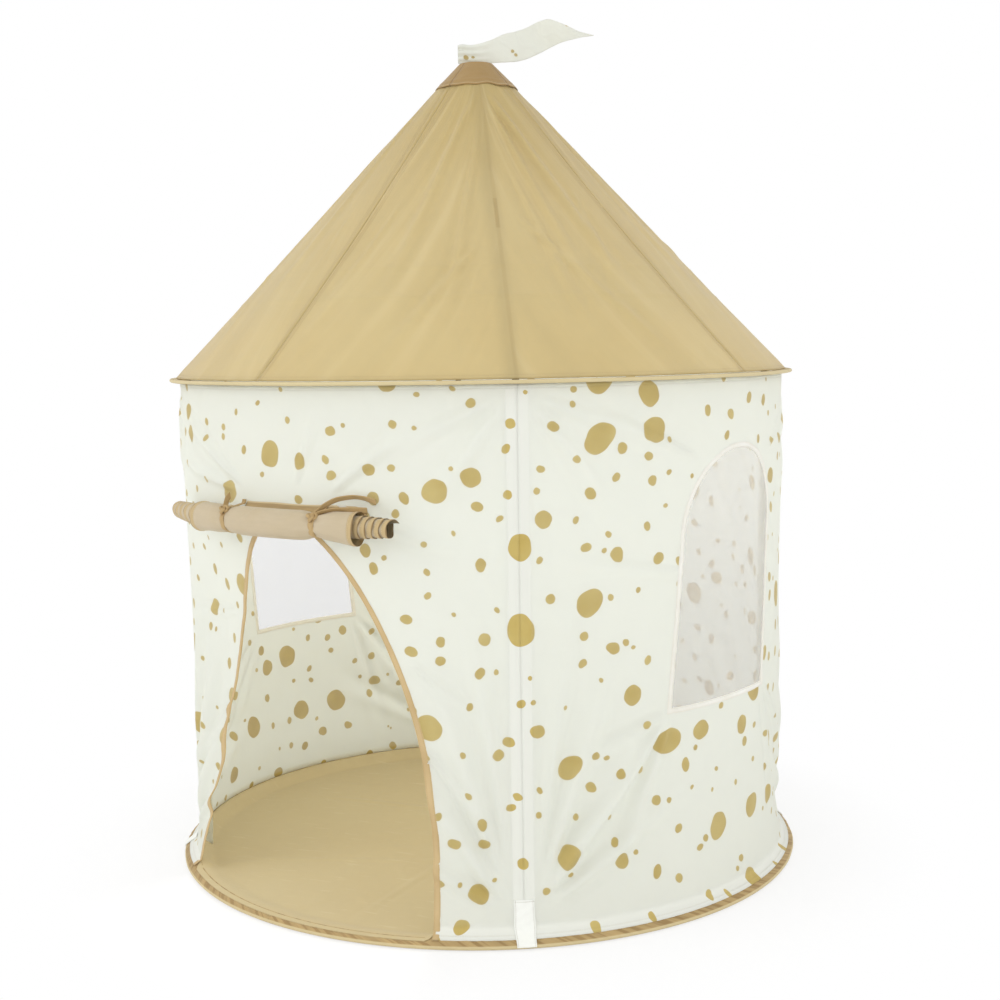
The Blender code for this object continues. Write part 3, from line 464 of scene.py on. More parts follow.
def wall_piece(side):
    """One wall's cloth, trimmed to its opening, and its cloth map of metres across and up."""
    across, up = np.linspace(-44.999, 44.999, 185), np.linspace(WALL_HEM, WALL_HEAD, 178)
    azimuth, height = np.meshgrid(across, up)
    kept = None
    if side != "back":
        edge = door_edge if side == "front" else window_edge
        cut = 0.4 * BINDING_WIDTH
        azimuth, height, kept = trimmed(azimuth, height, lambda a, h: edge(a, h, cut))
    points = wall_point(side, azimuth, height, -sizes("walls").cloth / 2)
    cloth = together(np.radians(azimuth) * WALL_MAP_RADIUS, height)
    return grid_object("wall_cloth_" + side, points, cloth, kept)


def binding_piece(name, side, outline, closed):
    """A binding folded over a cloth edge: a flattened circle, (|cos t|^0.45, |sin t|^0.6) with
    their signs, carried along an outline. Its map is metres along and across."""
    tent = sizes("walls")
    turn = np.linspace(0, 2 * pi, 16, endpoint=False)
    across, out = np.cos(turn), np.sin(turn)
    across = np.sign(across) * np.abs(across) ** 0.45 * BINDING_WIDTH / 2
    out = np.sign(out) * np.abs(out) ** 0.6 * tent.binding / 2
    share = np.linspace(0, 1, 420, endpoint=not closed)[:, None]
    azimuth, height = outline(share, across[None, :] + BINDING_WIDTH / 2)
    pucker = 0.00010 * np.sin(share * 500) + 0.00022 * np.sin(share * 171 + 1)
    points = wall_point(side, azimuth, height, -tent.cloth / 2 + out[None, :] + pucker)
    middle = points.mean(1)
    run = lengths(np.concatenate([middle, middle[:1]]) if closed else middle)
    girth = np.append(across, across[0]) + BINDING_WIDTH / 2
    cloth = together(run[:, None], girth[None, :])
    obj = grid_object(name, points, cloth, ring_rows=closed, ring_columns=True)
    if not closed:
        close_ends(obj)
    fix_normals(obj)
    return obj


def net_piece(side):
    """The window's net: a grid shrunk to the outline row by row, stretched flat across the
    wall's curve."""
    under = 0.004  # how far it reaches under the binding
    wide, top, sill = WINDOW_HALF_WIDTH + under, WINDOW_TOP + under, WINDOW_SILL - under
    height = sill + (top - 0.0004 - sill) * np.linspace(0, 1, 97)
    round_share = np.clip((height - WINDOW_SPRING) / wide, 0, 1)
    half = wide * np.sqrt(np.clip(1 - round_share**2, 0.0016, 1))
    across = half[:, None] * np.linspace(-1, 1, 61)[None, :]
    height = np.broadcast_to(height[:, None], across.shape)
    across = across - WINDOW_LEAN * (WINDOW_TOP - height)
    azimuth = np.degrees(np.arcsin(across / WALL_MAP_RADIUS))
    loose = ripple(7 + WALL_AZIMUTHS[side], 8, 4, 12)(across, height)
    inside = np.clip(-window_edge(azimuth, height, under) / 0.03, 0, 1)
    out = -SKIN - 0.0006 * inside + 0.0009 * inside * loose
    points = wall_point(side, azimuth, height, out)
    return grid_object("window_mesh_" + side, points, together(across, height))


def sleeve_piece(corner, azimuth):
    """The strip inside the wall round a pole: a flat-footed arch section carried up the wall."""
    # the section's right half: millimetres from the pole's middle, and how deep it is there
    half = ((0, 13.4), (2.5, 13.2), (5.5, 12.2), (7.6, 7.6), (9.3, 2.6), (10.5, 1.2), (13, 1.1))
    side, deep = np.array((*half, (15, 1.1))).T / 1000
    across, depth = np.append(-side[:0:-1], side), np.append(deep[:0:-1], deep)
    height = np.linspace(SLEEVE_FOOT, SLEEVE_HEAD, 122)[:, None]
    wave = 0.0006 * np.sin(height * 61 + azimuth) + 0.0005 * np.sin(height * 143)
    low = np.clip(depth - 0.0012, 0, 1) / 0.012
    radius = wall_line(height) - 0.0015 - depth + wave * low
    points = around(azimuth + np.degrees(across / 0.5), radius, height)
    return grid_object("pole_channel_" + corner, points, together(across, height))


# The foot tab's profile, in millimetres: height, and how far it stands out from the wall's line
TAB_PROFILE = (
    (64.0, 0.6), (50.0, 0.6), (36.0, 0.6), (26.0, 0.8), (20.5, 1.2),
    (16.8, 7.2), (13.2, 12.2), (9.4, 17.6), (6.6, 20.6), (4.2, 20.9),
)  # fmt: skip


def patch_piece(corner, azimuth):
    """The foot tab: a small cloth over the pole's foot and down over the base sleeve to the
    ground, along its profile, with a ridge and small creases. Its map is metres across and
    down."""
    heights, out = np.array(TAB_PROFILE).T / 1000
    radii = wall_taper(np.maximum(heights, WALL_FOOT)) + out
    run = lengths(np.stack([radii, heights], -1))
    down = np.linspace(0, run[-1], 49)
    lines = [smoothed(run, line, down, 3) for line in (radii, heights)]
    across, down = np.meshgrid(np.linspace(-0.0150, 0.0150, 25), down)
    radius, height = (line[:, None] + 0 * across for line in lines)
    s = across * (1 + 0.10 * bump(down - run[-1] * 0.55, 0.014) - 0.10 * down / run[-1])
    low = eased((down - 0.020) / 0.030)
    crease = 0.0006 * bump(s, 0.006) + 0.00030 * np.sin(down * 430 + s * 260)
    crease = crease + 0.00035 * np.sin(s * 520 + 1) * low
    radius = radius + crease * (1 - 0.5 * low)
    points = around(azimuth + np.degrees(s / WALL_MAP_RADIUS), radius, height)
    return grid_object("foot_tab_" + corner, points, together(across, down))


# ---------------------------------------------------------------- roof, bands and floor


def roof_line(height):
    """Outer radius of the roof over a pole: a straight cone."""
    return CROWN_RADIUS + (CROWN - height) * ROOF_SLOPE


# Folds of a roof quarter: start and end as (degrees from its pole, share up the roof), width in
# metres, depth.
ROOF_FOLDS = (
    (2.0, 0.93, 31.0, 0.10, 0.015, 0.0034),
    (3.0, 0.88, 20.0, 0.16, 0.012, 0.0028),
    (-2.0, 0.93, -27.0, 0.14, 0.014, 0.0030),
    (-3.0, 0.82, -12.0, 0.05, 0.011, 0.0022),
    (8.0, 0.64, 16.0, 0.04, 0.012, 0.0020),
    (4.0, 0.50, 31.0, 0.02, 0.012, 0.0020),
    (-5.0, 0.40, -24.0, 0.02, 0.013, 0.0022),
    (36.0, 0.60, 24.0, 0.03, 0.014, 0.0010),
    (-34.0, 0.55, -41.0, 0.02, 0.012, 0.0010),
)


def roof_piece(corner, azimuth, order):
    """A quarter of the roof: the cone less a sag that is a half sine up it times a squared sine
    across it, with folds, a ridge over the pole, lips at its seams and puckers at the eave."""
    side, share = np.meshgrid(np.linspace(-1, 1, 161), np.linspace(0, 1, 150))
    height = ROOF_FOOT + SKIN + share * (CROWN - ROOF_HEAD - ROOF_FOOT - SKIN)
    line = roof_line(height)
    degrees = side * (45 - np.degrees(0.00015 / line))
    s, up = np.radians(degrees) * line, share * ROOF_RUN
    sag = ROOF_SAG * np.sin(pi * share) * np.sin(pi * np.abs(side) / 2) ** 2
    mirror = -1 if order % 2 else 1

    def spot(turn, part):
        wide = (CROWN - ROOF_FOOT) * (1 - part) * ROOF_SLOPE + CROWN_RADIUS
        return mirror * math.radians(turn) * wide, part * ROOF_RUN

    rows = [(*spot(a0, v0), *spot(a1, v1), *rest) for a0, v0, a1, v1, *rest in ROOF_FOLDS]
    push = folded(s, up, rows)
    push = push + 0.0016 * ripple(200 + order, 9, 2.0, 6.0)(s, up)
    push = push + 0.0006 * ripple(240 + order, 14, 10.0, 24.0)(s, up)
    puckers = ripple(280 + order, 9, 22.0, 55.0)(s, share * 0.05)
    push = push + 0.0016 * np.exp(-up / 0.030) * puckers
    push = push + 0.0008 * bump(share - 0.235, 0.006) + 0.0007 * bump(share - 0.325, 0.006)
    rim = eased(share / 0.035) * eased((1 - share) / 0.10)
    seam = np.abs(side) - 1
    off = seam * line * 0.785
    lip = 0.0010 * bump(off + 0.004, 0.0022) - 0.0008 * bump(off, 0.0016)
    ridge = 0.0014 * bump(s, 0.006) * np.sin(pi * share) ** 0.4
    deep = sizes("roof").fold_depth * (1.30 if corner == "front_right" else 0.70)
    push = deep * push * rim * (0.25 + 0.75 * eased(-seam / 0.08))
    radius = line - SKIN * ROOF_SLANT - sag + push + (lip + ridge) * rim
    points = around(azimuth + degrees, radius, height)
    return grid_object("roof_quarter_" + corner, points, together(s, up))


def cap_piece():
    """The cap: a surface of revolution along a profile of (radius, height) from the point down
    to a wavy hem, with small wrinkles and a turned edge."""
    steps = 240
    azimuth = np.arange(steps) * 360 / steps
    run = np.concatenate([np.linspace(0, 1, 9), 1 + np.linspace(0.02, 1, 44)])[:, None]
    flat, down = np.clip(run, 0, 1), np.clip(run - 1, 0, 1)
    wave = ripple(5, 7, 0.5, 2.4)(azimuth / 60)[None, :]
    drop = (CAP_DROP + 0.0030 * wave) * down
    height = CROWN - 0.0009 * (1 - down) - drop
    radius = (CROWN_RADIUS + 0.0007) * flat + drop * ROOF_SLOPE + 0.0008 * ROOF_SLANT * down
    wrinkle = ripple(15, 10, 0.6, 3.0)(azimuth / 14)[None, :]
    radius = radius + 0.0007 * wrinkle * down * (1 - 0.6 * down)
    radius = radius + 0.0006 * bump(down - 0.78, 0.05) - 0.0007 * eased((down - 0.93) / 0.07)
    points = around(azimuth[None, :], radius, height)
    length = CROWN_RADIUS * flat + CAP_DROP * down * ROOF_SLANT
    cloth = together((np.arange(steps + 1) / steps)[None, :] * CAP_GIRTH, length)
    return grid_object("roof_point", points, cloth, ring_columns=True, weld=True)


def ring_piece(name, section, steps, waver):
    """A closed (radius, height) section carried once round the tent. waver(azimuth, radius,
    height) gives small moves of both."""
    radius, height = np.asarray(section, float).T
    azimuth = (np.arange(steps) * 360 / steps)[:, None]
    out, up = waver(azimuth, radius[None, :], height[None, :])
    points = around(azimuth, radius[None, :] + out, height[None, :] + up)
    girth = lengths(np.array([*section, section[0]]))
    run = np.arange(steps + 1) / steps * 2 * pi * radius.max()
    cloth = together(run[:, None], girth[None, :])
    obj = grid_object(name, points, cloth, ring_rows=True, ring_columns=True)
    fix_normals(obj)
    return obj


# The base sleeve's section in millimetres in from the hoop's nose and up: along the ground to
# the nose, up its slanted top to the seam, and back inside the cloth.
BASE_SECTION = (
    (21.0, 0.0), (12.0, 0.0), (5.0, 0.2), (1.8, 1.2), (0.3, 3.0), (0.0, 4.5), (0.6, 6.2),
    (2.8, 8.2), (6.5, 10.8), (10.0, 13.2), (13.5, 15.4), (16.5, 17.4), (18.2, 19.0),
    (19.6, 19.9), (21.0, 20.0), (21.3, 19.0), (21.0, 17.8), (18.0, 17.0), (12.0, 12.5),
    (5.0, 7.0), (3.0, 4.5), (5.0, 2.0), (12.0, 1.4), (21.0, 1.4),
)  # fmt: skip


def door_dip(azimuth):
    """1 across the doorway, where no wall pulls the base sleeve up, and 0 beside it."""
    away = np.abs((azimuth + 180) % 360 - 180)
    return eased((31.0 - away) / 2.2)


def base_waver(azimuth, radius, height):
    """Puckers of the base sleeve: slanting waves round it, strongest halfway up its top, and
    slow waves of its seam. Across the doorway its top lies lower."""
    run = np.radians(azimuth) * BASE_RADIUS
    fine = ripple(61, 14, 34.0, 80.0)(run + (height - 0.010) * 1.6)
    slow = ripple(63, 9, 6.0, 16.0)(run)
    outer = eased((radius - (BASE_RADIUS - 0.020)) / 0.006) * eased(height / 0.004)
    top = bump(height - 0.0115, 0.0050)
    depth = sizes("bands").pucker_depth * outer
    drop = -0.80 * door_dip(azimuth) * np.clip(height - 0.0085, 0, 1)
    up = depth * (0.5 * fine * top) + 0.0003 * slow * outer + drop
    return depth * (0.9 * fine * top + 0.35 * slow), up


def eave_section():
    """The eave sleeve's section: a flat tape that swells round the hoop at its outer edge."""
    inner, r = EAVE_RADIUS - 0.018, EAVE_RADIUS
    middle, half = (EAVE_TOP + EAVE_BOTTOM) / 2, (EAVE_TOP - EAVE_BOTTOM) / 2
    turn = np.linspace(-0.5 * pi, 0.5 * pi, 9)
    nose = [(r - half + half * math.cos(t), middle + half * math.sin(t)) for t in turn]
    shares = ((r - 0.0065, 0.92), (r - 0.0105, 0.86), (inner, 0.88))
    top = [(radius, middle + share * half) for radius, share in shares]
    return nose + top + [(inner - 0.0004, middle)] + [(a, 2 * middle - b) for a, b in top[::-1]]


def eave_waver(azimuth, radius, height):
    """Slow waves of the eave sleeve and the small puckers of its stitching."""
    run = np.radians(azimuth) * EAVE_RADIUS
    slow, fine = ripple(71, 8, 1.2, 4.0)(run), ripple(73, 12, 40.0, 90.0)(run)
    outer = eased((radius - (EAVE_RADIUS - 0.016)) / 0.010)
    return 0.0003 * fine * outer - 0.0002 * outer, (0.0009 * slow + 0.00022 * fine) * outer


# Creases of the floor: both ends' (x, y), width, and depth as a share
FLOOR_CREASES = (
    (-0.42, -0.05, 0.30, 0.18, 0.016, 1.0),
    (0.10, -0.45, -0.05, 0.30, 0.014, 0.8),
    (-0.30, -0.40, 0.15, -0.10, 0.010, 0.7),
    (0.40, -0.10, 0.05, 0.35, 0.012, 0.7),
)


def floor_piece():
    """The floor: a disc of rings whose height is a small random swell with a few creases. Its
    rim climbs to the walls' foot, and at the doorway on over the base sleeve."""
    rim, steps = BASE_RADIUS - 0.0210, 440
    azimuth = (np.arange(steps) * 360 / steps)[None, :]
    door = door_dip(azimuth)
    rings = np.concatenate([np.linspace(0, 0.9, 70), np.linspace(0.9, 1, 40)[1:]])
    share = rings[:, None] ** 0.95
    radius = share * (rim + 0.0002 + 0.0112 * door)
    flat = around(azimuth, radius, 0.0)
    x, y = flat[..., 0], flat[..., 1]
    swell = ripple(31, 9, 1.5, 5.0)(x, y) + 0.5 * ripple(33, 12, 7, 16)(x, y)
    creases = folded(x, y, FLOOR_CREASES)
    low = np.clip(0.0013 + 0.0011 * swell + 0.0012 * creases, 0.0, 0.006)
    wave = ripple(35, 9, 4, 12)(azimuth / 57.3 * 0.5)
    climb = (radius - rim + 0.030 + 0.014 * door) / (0.029 + 0.012 * door)
    climb = eased(climb) ** 1.2
    top = 0.0192 - 0.0090 * door + 0.0010 * wave * (1 - door)
    over = np.clip(radius - rim - 0.0015, 0, 1) * 0.06 * door
    flat[..., 2] = SKIN + (low + 0.0002) * (1 - climb) + (top - 0.0008) * climb - over
    wide = np.arange(steps + 1) / steps * 360
    cloth = around(wide[None, :], share * rim, 0.0)[..., :2]
    return grid_object("floor_cloth", flat, cloth, ring_columns=True, weld=True)


# ---------------------------------------------------------------- rolled door, ties and flag


def smoothed(at, values, share, spread=5):
    """A line through stations, its corners rounded by a running mean with a cosine's weights."""
    weights = np.hanning(2 * spread + 3)[1:-1]
    straight = np.interp(share, at, values)
    straight = np.pad(straight, spread, mode="reflect", reflect_type="odd")
    return np.convolve(straight, weights / weights.sum(), "valid")


def from_ties(run):
    """For each tie: the metres from it to places along the roll, and how much it draws in."""
    return [(run - math.radians(at) * ROLL_AXIS_RADIUS, depth) for at, depth in TIES.values()]


def tie_pinch(run):
    """How much of the roll's radius is left at metres along it from the doorway's middle: drawn
    in at each tie, with a quick rise beside it."""
    left = np.ones(np.shape(run))
    for away, depth in from_ties(run):
        left = np.minimum(left, 1 - depth * (1 - eased(np.abs(away) / 0.034) ** 0.6))
    return left


def roll_bend(run):
    """How far the roll's right end swings out from the wall, and its slope there."""
    share = np.clip((run - 0.165) / 0.080, 0, 1)
    return 0.013 * share**2, 0.026 * share / 0.080


def roll_piece():
    """The rolled door: one cloth down from its seam and wound inwards. The outer turn is loose.
    Those inside it lie close, each longer than the one round it, so that their thick bound edges
    show as steps."""
    door = sizes("door")
    turns, per_turn, columns, hem = door.turns, 34, 230, 7
    rows = hem + turns * per_turn + 1
    wound = np.clip((np.arange(rows) - hem) / per_turn, 0, None)[:, None]
    turn = np.radians(150 + 360 * wound)
    inner = np.clip((wound - 1.0) / (turns - 1.0), 0, 1)
    left, right = -0.130 - 0.105 * inner**0.9, 0.189 + 0.056 * inner
    run = left + (right - left) * np.linspace(0, 1, columns)[None, :]
    run = run + 0.0010 * np.sin(wound * 23)

    # the folds of the outer turn, gathered beside the ties and flat under them
    close = eased((wound - 1.02) / 0.22)
    outer = 1 - close
    gather = sum(depth * 5 * bump(away, 0.036) for away, depth in from_ties(run))
    folds = ripple(301, 9, 10, 26)(run * 0.35, np.cos(turn) * 0.05 + np.sin(turn) * 0.04)
    lines = 0.5 * np.sin(5 * turn + 3 * np.sin(run * 13)) + np.sin(9 * turn + run * 40)
    loose = 0.0012 * folds * (1 - 0.4 * np.clip(gather, 0, 1))
    loose = loose + 0.0009 * lines * np.clip(gather, 0, 1.2)
    under_tie = sum(bump(away, 0.0075) for away, _ in from_ties(run))
    loose = loose * (1 - 0.9 * under_tie)

    # the radius, which grows where an end of the outer turn flares and at each bound edge
    edge = np.minimum(run - left, right - run)
    low = bump((turn - math.radians(300)) / 1.0, 0.9) * outer
    flare = 0.0058 * eased((run - 0.145) / 0.040) * low
    flare = flare + 0.0022 * eased((-run - 0.100) / 0.030) * low
    base = door.roll_radius - 0.0003 * wound - 0.0048 * close
    base = base - 0.00050 * np.clip(wound - 1.2, 0, None)
    radius = base * (1 - (1 - tie_pinch(run)) * (0.35 + 0.65 * outer))
    radius = radius + loose * (0.12 + 0.88 * outer) + flare
    radius = radius + 0.0007 * (1 - eased((edge - 0.0060) / 0.0020))
    swing, slope = roll_bend(run)
    azimuth = np.degrees((run - radius * np.cos(turn) * slope) / ROLL_AXIS_RADIUS)
    out = ROLL_AXIS_RADIUS + swing + radius * np.cos(turn)
    height = ROLL_HEIGHT + radius * np.sin(turn)

    # the rows between the seam on the wall and the roll
    ease = (np.arange(hem) / hem)[:, None]
    shown = eased((run[:1] + 0.050) / 0.012) * (1 - 0.5 * eased((run[:1] - 0.170) / 0.02))
    top = ROLL_HEIGHT + 0.0165 + 0.0100 * shown + 0.0005 * np.sin(run[:1] * 60)
    seam = wall_taper(top) + 0.0014
    out[:hem] = seam + (out[hem] - seam) * ease**1.6
    height[:hem] = top + (height[hem] - top) * ease
    middle = columns // 2
    length = lengths(np.stack([out[:, middle], height[:, middle]], -1))
    points = around(azimuth, out, height)
    return grid_object("door_wound", points, together(edge, length[:, None]))


def roll_point(run, distance, turn):
    """Points round the roll's curved axis: run metres along it, at a distance and an angle in
    radians that is 0 away from the wall."""
    out, up = distance * np.cos(turn), distance * np.sin(turn)
    return around(np.degrees(run / ROLL_AXIS_RADIUS), ROLL_AXIS_RADIUS + out, ROLL_HEIGHT + up)


def tape(name, middle, across, width):
    """A flat tape: five columns of points from side to side of a path, its map metres along and
    across."""
    side = np.linspace(-0.5, 0.5, 5)
    points = middle[:, None] + side[None, :, None] * width * across[:, None]
    return grid_object(name, points, together(lengths(middle)[:, None], side[None, :] * width))


# Each tail's stations: metres along the roll from its knot, and out from and up from the roll's
# axis.
TAILS = {
    "left": (
        (
            (0, 0.0130, 0.0150), (-0.004, 0.0080, 0.0230), (-0.009, 0.0010, 0.0310),
            (-0.012, -0.0060, 0.0350),
        ),
    ),
    "right": (
        (
            (0, 0.0130, 0.0130), (0.012, 0.0020, 0.0280), (0.026, -0.0120, 0.0370),
            (0.050, -0.0195, 0.0405), (0.068, -0.0195, 0.0385), (0.086, -0.0185, 0.0335),
        ),
        (
            (0, 0.0130, 0.0130), (0.010, 0.0060, 0.0200), (0.030, -0.0020, 0.0236),
            (0.055, -0.0060, 0.0232), (0.078, -0.0060, 0.0226),
        ),
    ),
}  # fmt: skip


def knot_piece(run, lift, sideways):
    """A knot on the roll: a round bar along a trefoil, (sin t + 1.9 sin 2t, cos t - 1.9 cos 2t,
    -sin 3t) in millimetres of its own size."""
    turn = math.radians(48)
    centre = roll_point(run, lift, turn)
    out = roll_point(run, lift + 1, turn) - centre
    up = np.cross(out, sideways)
    t = np.linspace(0, 2 * pi, 73)[:-1, None]
    x = 0.0026 * (np.sin(t) + 1.9 * np.sin(2 * t))
    y = 0.0023 * (np.cos(t) - 1.9 * np.cos(2 * t))
    z = 0.0004 - 0.0020 * np.sin(3 * t)
    path = centre + x * sideways + y * up + z * out
    points = tube_grid(np.concatenate([path, path[:1]]), 0.0020, 8)[:-1]
    length, girth = np.linspace(0, 0.1, 73)[:, None], np.linspace(-0.005, 0.005, 9)[None, :]
    rings = {"ring_rows": True, "ring_columns": True}
    knot = grid_object("knot", points, together(length, girth), **rings)
    fix_normals(knot)
    return knot


def tie_piece(side):
    """A tie: a tape from the seam over the roll and under it, a knot, and its tails through
    their stations."""
    azimuth, depth = TIES[side]
    run0 = math.radians(azimuth) * ROLL_AXIS_RADIUS
    grip = sizes("door").roll_radius * (1 - depth) + 0.0010
    turn = np.radians(np.linspace(100, -192, 60))
    loop = roll_point(np.full(60, run0), grip + 0.0005 * np.sin(turn * 7), turn)
    down = np.linspace(0, 1, 5)
    seam = wall_taper(ROLL_HEIGHT) + 0.0030 + 0.002 * down**2
    top = around(np.full(5, azimuth), seam, ROLL_HEIGHT + 0.0280 - 0.006 * down)
    middle = np.concatenate([top, loop])
    outward, sideways = around(azimuth, 1.0, 0.0), around(azimuth + 90, 1.0, 0.0)
    pieces = [
        tape("loop", middle, np.broadcast_to(sideways, middle.shape), 0.0088),
        knot_piece(run0, grip + 0.0024, sideways),
    ]
    share = np.linspace(0, 1, 41)
    for order, stations in enumerate(TAILS[side]):
        at = np.linspace(0, 1, len(stations))
        run, out, up = (smoothed(at, line, share, 4) for line in zip(*stations))
        degrees = np.degrees((run0 + run) / ROLL_AXIS_RADIUS)
        middle = around(degrees, ROLL_AXIS_RADIUS + out, ROLL_HEIGHT + up)
        tilt = 0.45 + 0.75 * share + 0.3 * np.sin(share * 7 + 2 * order) * share
        lean = together(0 * tilt, 0 * tilt, np.sin(tilt)) + np.cos(tilt)[:, None] * outward
        pieces.append(tape("tail", middle, lean, 0.0090))
    return joined("door_tie_" + side, pieces)


# Stations along the flag, and the shares of its height that its lower and upper edges have
FLAG_STATIONS = (0, 0.03, 0.09, 0.17, 0.26, 0.34, 0.42, 0.50, 0.58, 0.67, 0.76, 0.88, 1)
FLAG_LOW = (0.01, 0.01, 0.01, 0.01, 0.01, 0.01, 0.02, 0.08, 0.19, 0.34, 0.45, 0.53, 0.60)
FLAG_HIGH = (0.42, 0.46, 0.42, 0.46, 0.54, 0.66, 0.71, 0.80, 0.93, 1.00, 0.88, 0.70, 0.63)


def flag_piece():
    """The flag: from a low line to a high one, smoothed from stations, with two waves that grow
    towards its tip and gathers at its foot."""
    flag = sizes("flag")
    share, row = np.linspace(0, 1, 121), np.linspace(0, 1, 31)[:, None]
    lines = [smoothed(FLAG_STATIONS, values, share) for values in (FLAG_LOW, FLAG_HIGH)]
    height = flag.height * (lines[0] + row * (lines[1] - lines[0]))
    wave = 0.007 * np.sin(4 * pi * share + 1.2 * row) * share**0.5
    gather = 0.0022 * np.sin(row * 19 + share * 6) * bump(share, 0.16)
    ripples = 0.0012 * np.sin(share * 31 + row * 4) * share
    run = flag.length * share - 0.030 + 0 * row
    ahead, aside = around(FLAG_AZIMUTH, 1.0, 0.0), around(FLAG_AZIMUTH + 90, 1.0, 0.0)
    points = run[..., None] * ahead + (wave + gather + ripples)[..., None] * aside
    points[..., 2] = CROWN + 0.0009 + height
    return grid_object("flag_cloth", points, together(run, height))


# ---------------------------------------------------------------- poles


def ring_ends(node):
    """The centres of a straight node's lowest and highest rings, read from the frame."""
    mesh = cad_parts[node].data
    points = np.empty(len(mesh.vertices) * 3)
    mesh.vertices.foreach_get("co", points)
    points = np.unique(np.round(points.reshape(-1, 3), 5), axis=0)
    order = np.argsort(points[:, 2])
    count = len(points) // 2
    return points[order[:count]].mean(0), points[order[-count:]].mean(0)


def unit(vector):
    """A vector's direction."""
    return vector / np.linalg.norm(vector)


def rod_piece(name, start, end, radius):
    """A round rod with softly rounded ends."""
    length = np.linalg.norm(end - start)
    rim = np.array([0, 0.0003, 0.0008])
    body = np.linspace(0.0014, length - 0.0014, 24)
    run = np.concatenate([rim, body, length - rim[::-1]])
    worn = [0.80, 0.92, 0.98]
    girth = np.array([*worn, *np.ones(24), *worn[::-1]]) * radius
    return tube_object(name, start + run[:, None] * unit(end - start), girth, 20)


def sleeve_tube(name, path, inner, outer):
    """An open tube along a path: its outer skin, its bore and the rounded rims between them, in
    one closed grid."""
    out, bore = tube_grid(path, outer, 24), tube_grid(path, inner, 24)
    lip = 0.18 * (out[[0, -1]] - bore[[0, -1]])
    first, last = (out[0] - lip[0])[None], (out[-1] - lip[1])[None]
    points = np.concatenate([first, out, last, bore[::-1]])
    length = np.linspace(0, 0.1, len(points) + 1)[:, None]
    cloth = together(np.linspace(0, 0.03, 25)[None, :], length)
    obj = grid_object(name, points, cloth, ring_rows=True, ring_columns=True)
    fix_normals(obj)
    return obj


def elbow_piece(name, wall_rod, roof_rod, radius):
    """An open bent tube over the ends of two rods: straight, an arc of 35 mm that touches both
    rods' lines, and straight again."""
    arc_radius, cover = 0.035, 0.030
    up, along = (unit(end - start) for start, end in (wall_rod, roof_rod))
    across = roof_rod[0] - wall_rod[1]
    reach_up, _ = np.linalg.lstsq(np.stack([up, -along], 1), across, rcond=None)[0]
    corner = wall_rod[1] + reach_up * up
    bend = math.acos(float(np.clip(up @ along, -1, 1)))
    reach = arc_radius * math.tan(bend / 2)
    square = unit(along - up * (up @ along))
    centre = corner - up * reach + square * arc_radius
    turn = np.linspace(0, bend, 13)[:, None]
    arc = centre + arc_radius * (np.sin(turn) * up - np.cos(turn) * square)
    low = corner - up * (reach + cover * np.linspace(1, 0.1, 8)[:, None])
    high = corner + along * (reach + cover * np.linspace(0.1, 1, 8)[:, None])
    path = np.concatenate([low, arc, high])
    return sleeve_tube(name, path, radius + 0.0004, radius + 0.0017)


# ---------------------------------------------------------------- finishes


def linear(red, green, blue):
    """The scene-linear colour of one given in 0 to 255, with full alpha."""
    shares = [channel / 255 for channel in (red, green, blue)]
    curved = (s / 12.92 if s <= 0.04045 else ((s + 0.055) / 1.055) ** 2.4 for s in shares)
    return (*curved, 1.0)


def worked_by(operation, turned=False):
    """A method of Signal that adds the Math node of an operation. Its values are turned round
    for an operator that has its Signal on the right."""

    def method(self, *others):
        values = (self, *others)
        values = values[::-1] if turned else values
        return self.finish.node("ShaderNodeMath", values, operation=operation)

    return method


class Signal:
    """A node's output. Python's operators on it add the Math nodes that work them out."""

    def __init__(self, finish, socket):
        self.finish = finish
        self.socket = socket

    __add__ = __radd__ = worked_by("ADD")
    __sub__, __rsub__ = worked_by("SUBTRACT"), worked_by("SUBTRACT", True)
    __mul__ = __rmul__ = worked_by("MULTIPLY")
    __truediv__, __pow__ = worked_by("DIVIDE"), worked_by("POWER")
    __abs__, __gt__ = worked_by("ABSOLUTE"), worked_by("GREATER_THAN")
    least, most = worked_by("MINIMUM"), worked_by("MAXIMUM")
    sine, remainder = worked_by("SINE"), worked_by("FLOORED_MODULO")

    def also(self, name):
        """Another output of the same node."""
        return Signal(self.finish, self.socket.node.outputs[name])

    def rise(self, start, end):
        """0 at start, 1 at end, and smooth between them."""
        values = {"Value": self, "From Min": start, "From Max": end}
        return self.finish.node("ShaderNodeMapRange", values, interpolation_type="SMOOTHSTEP")


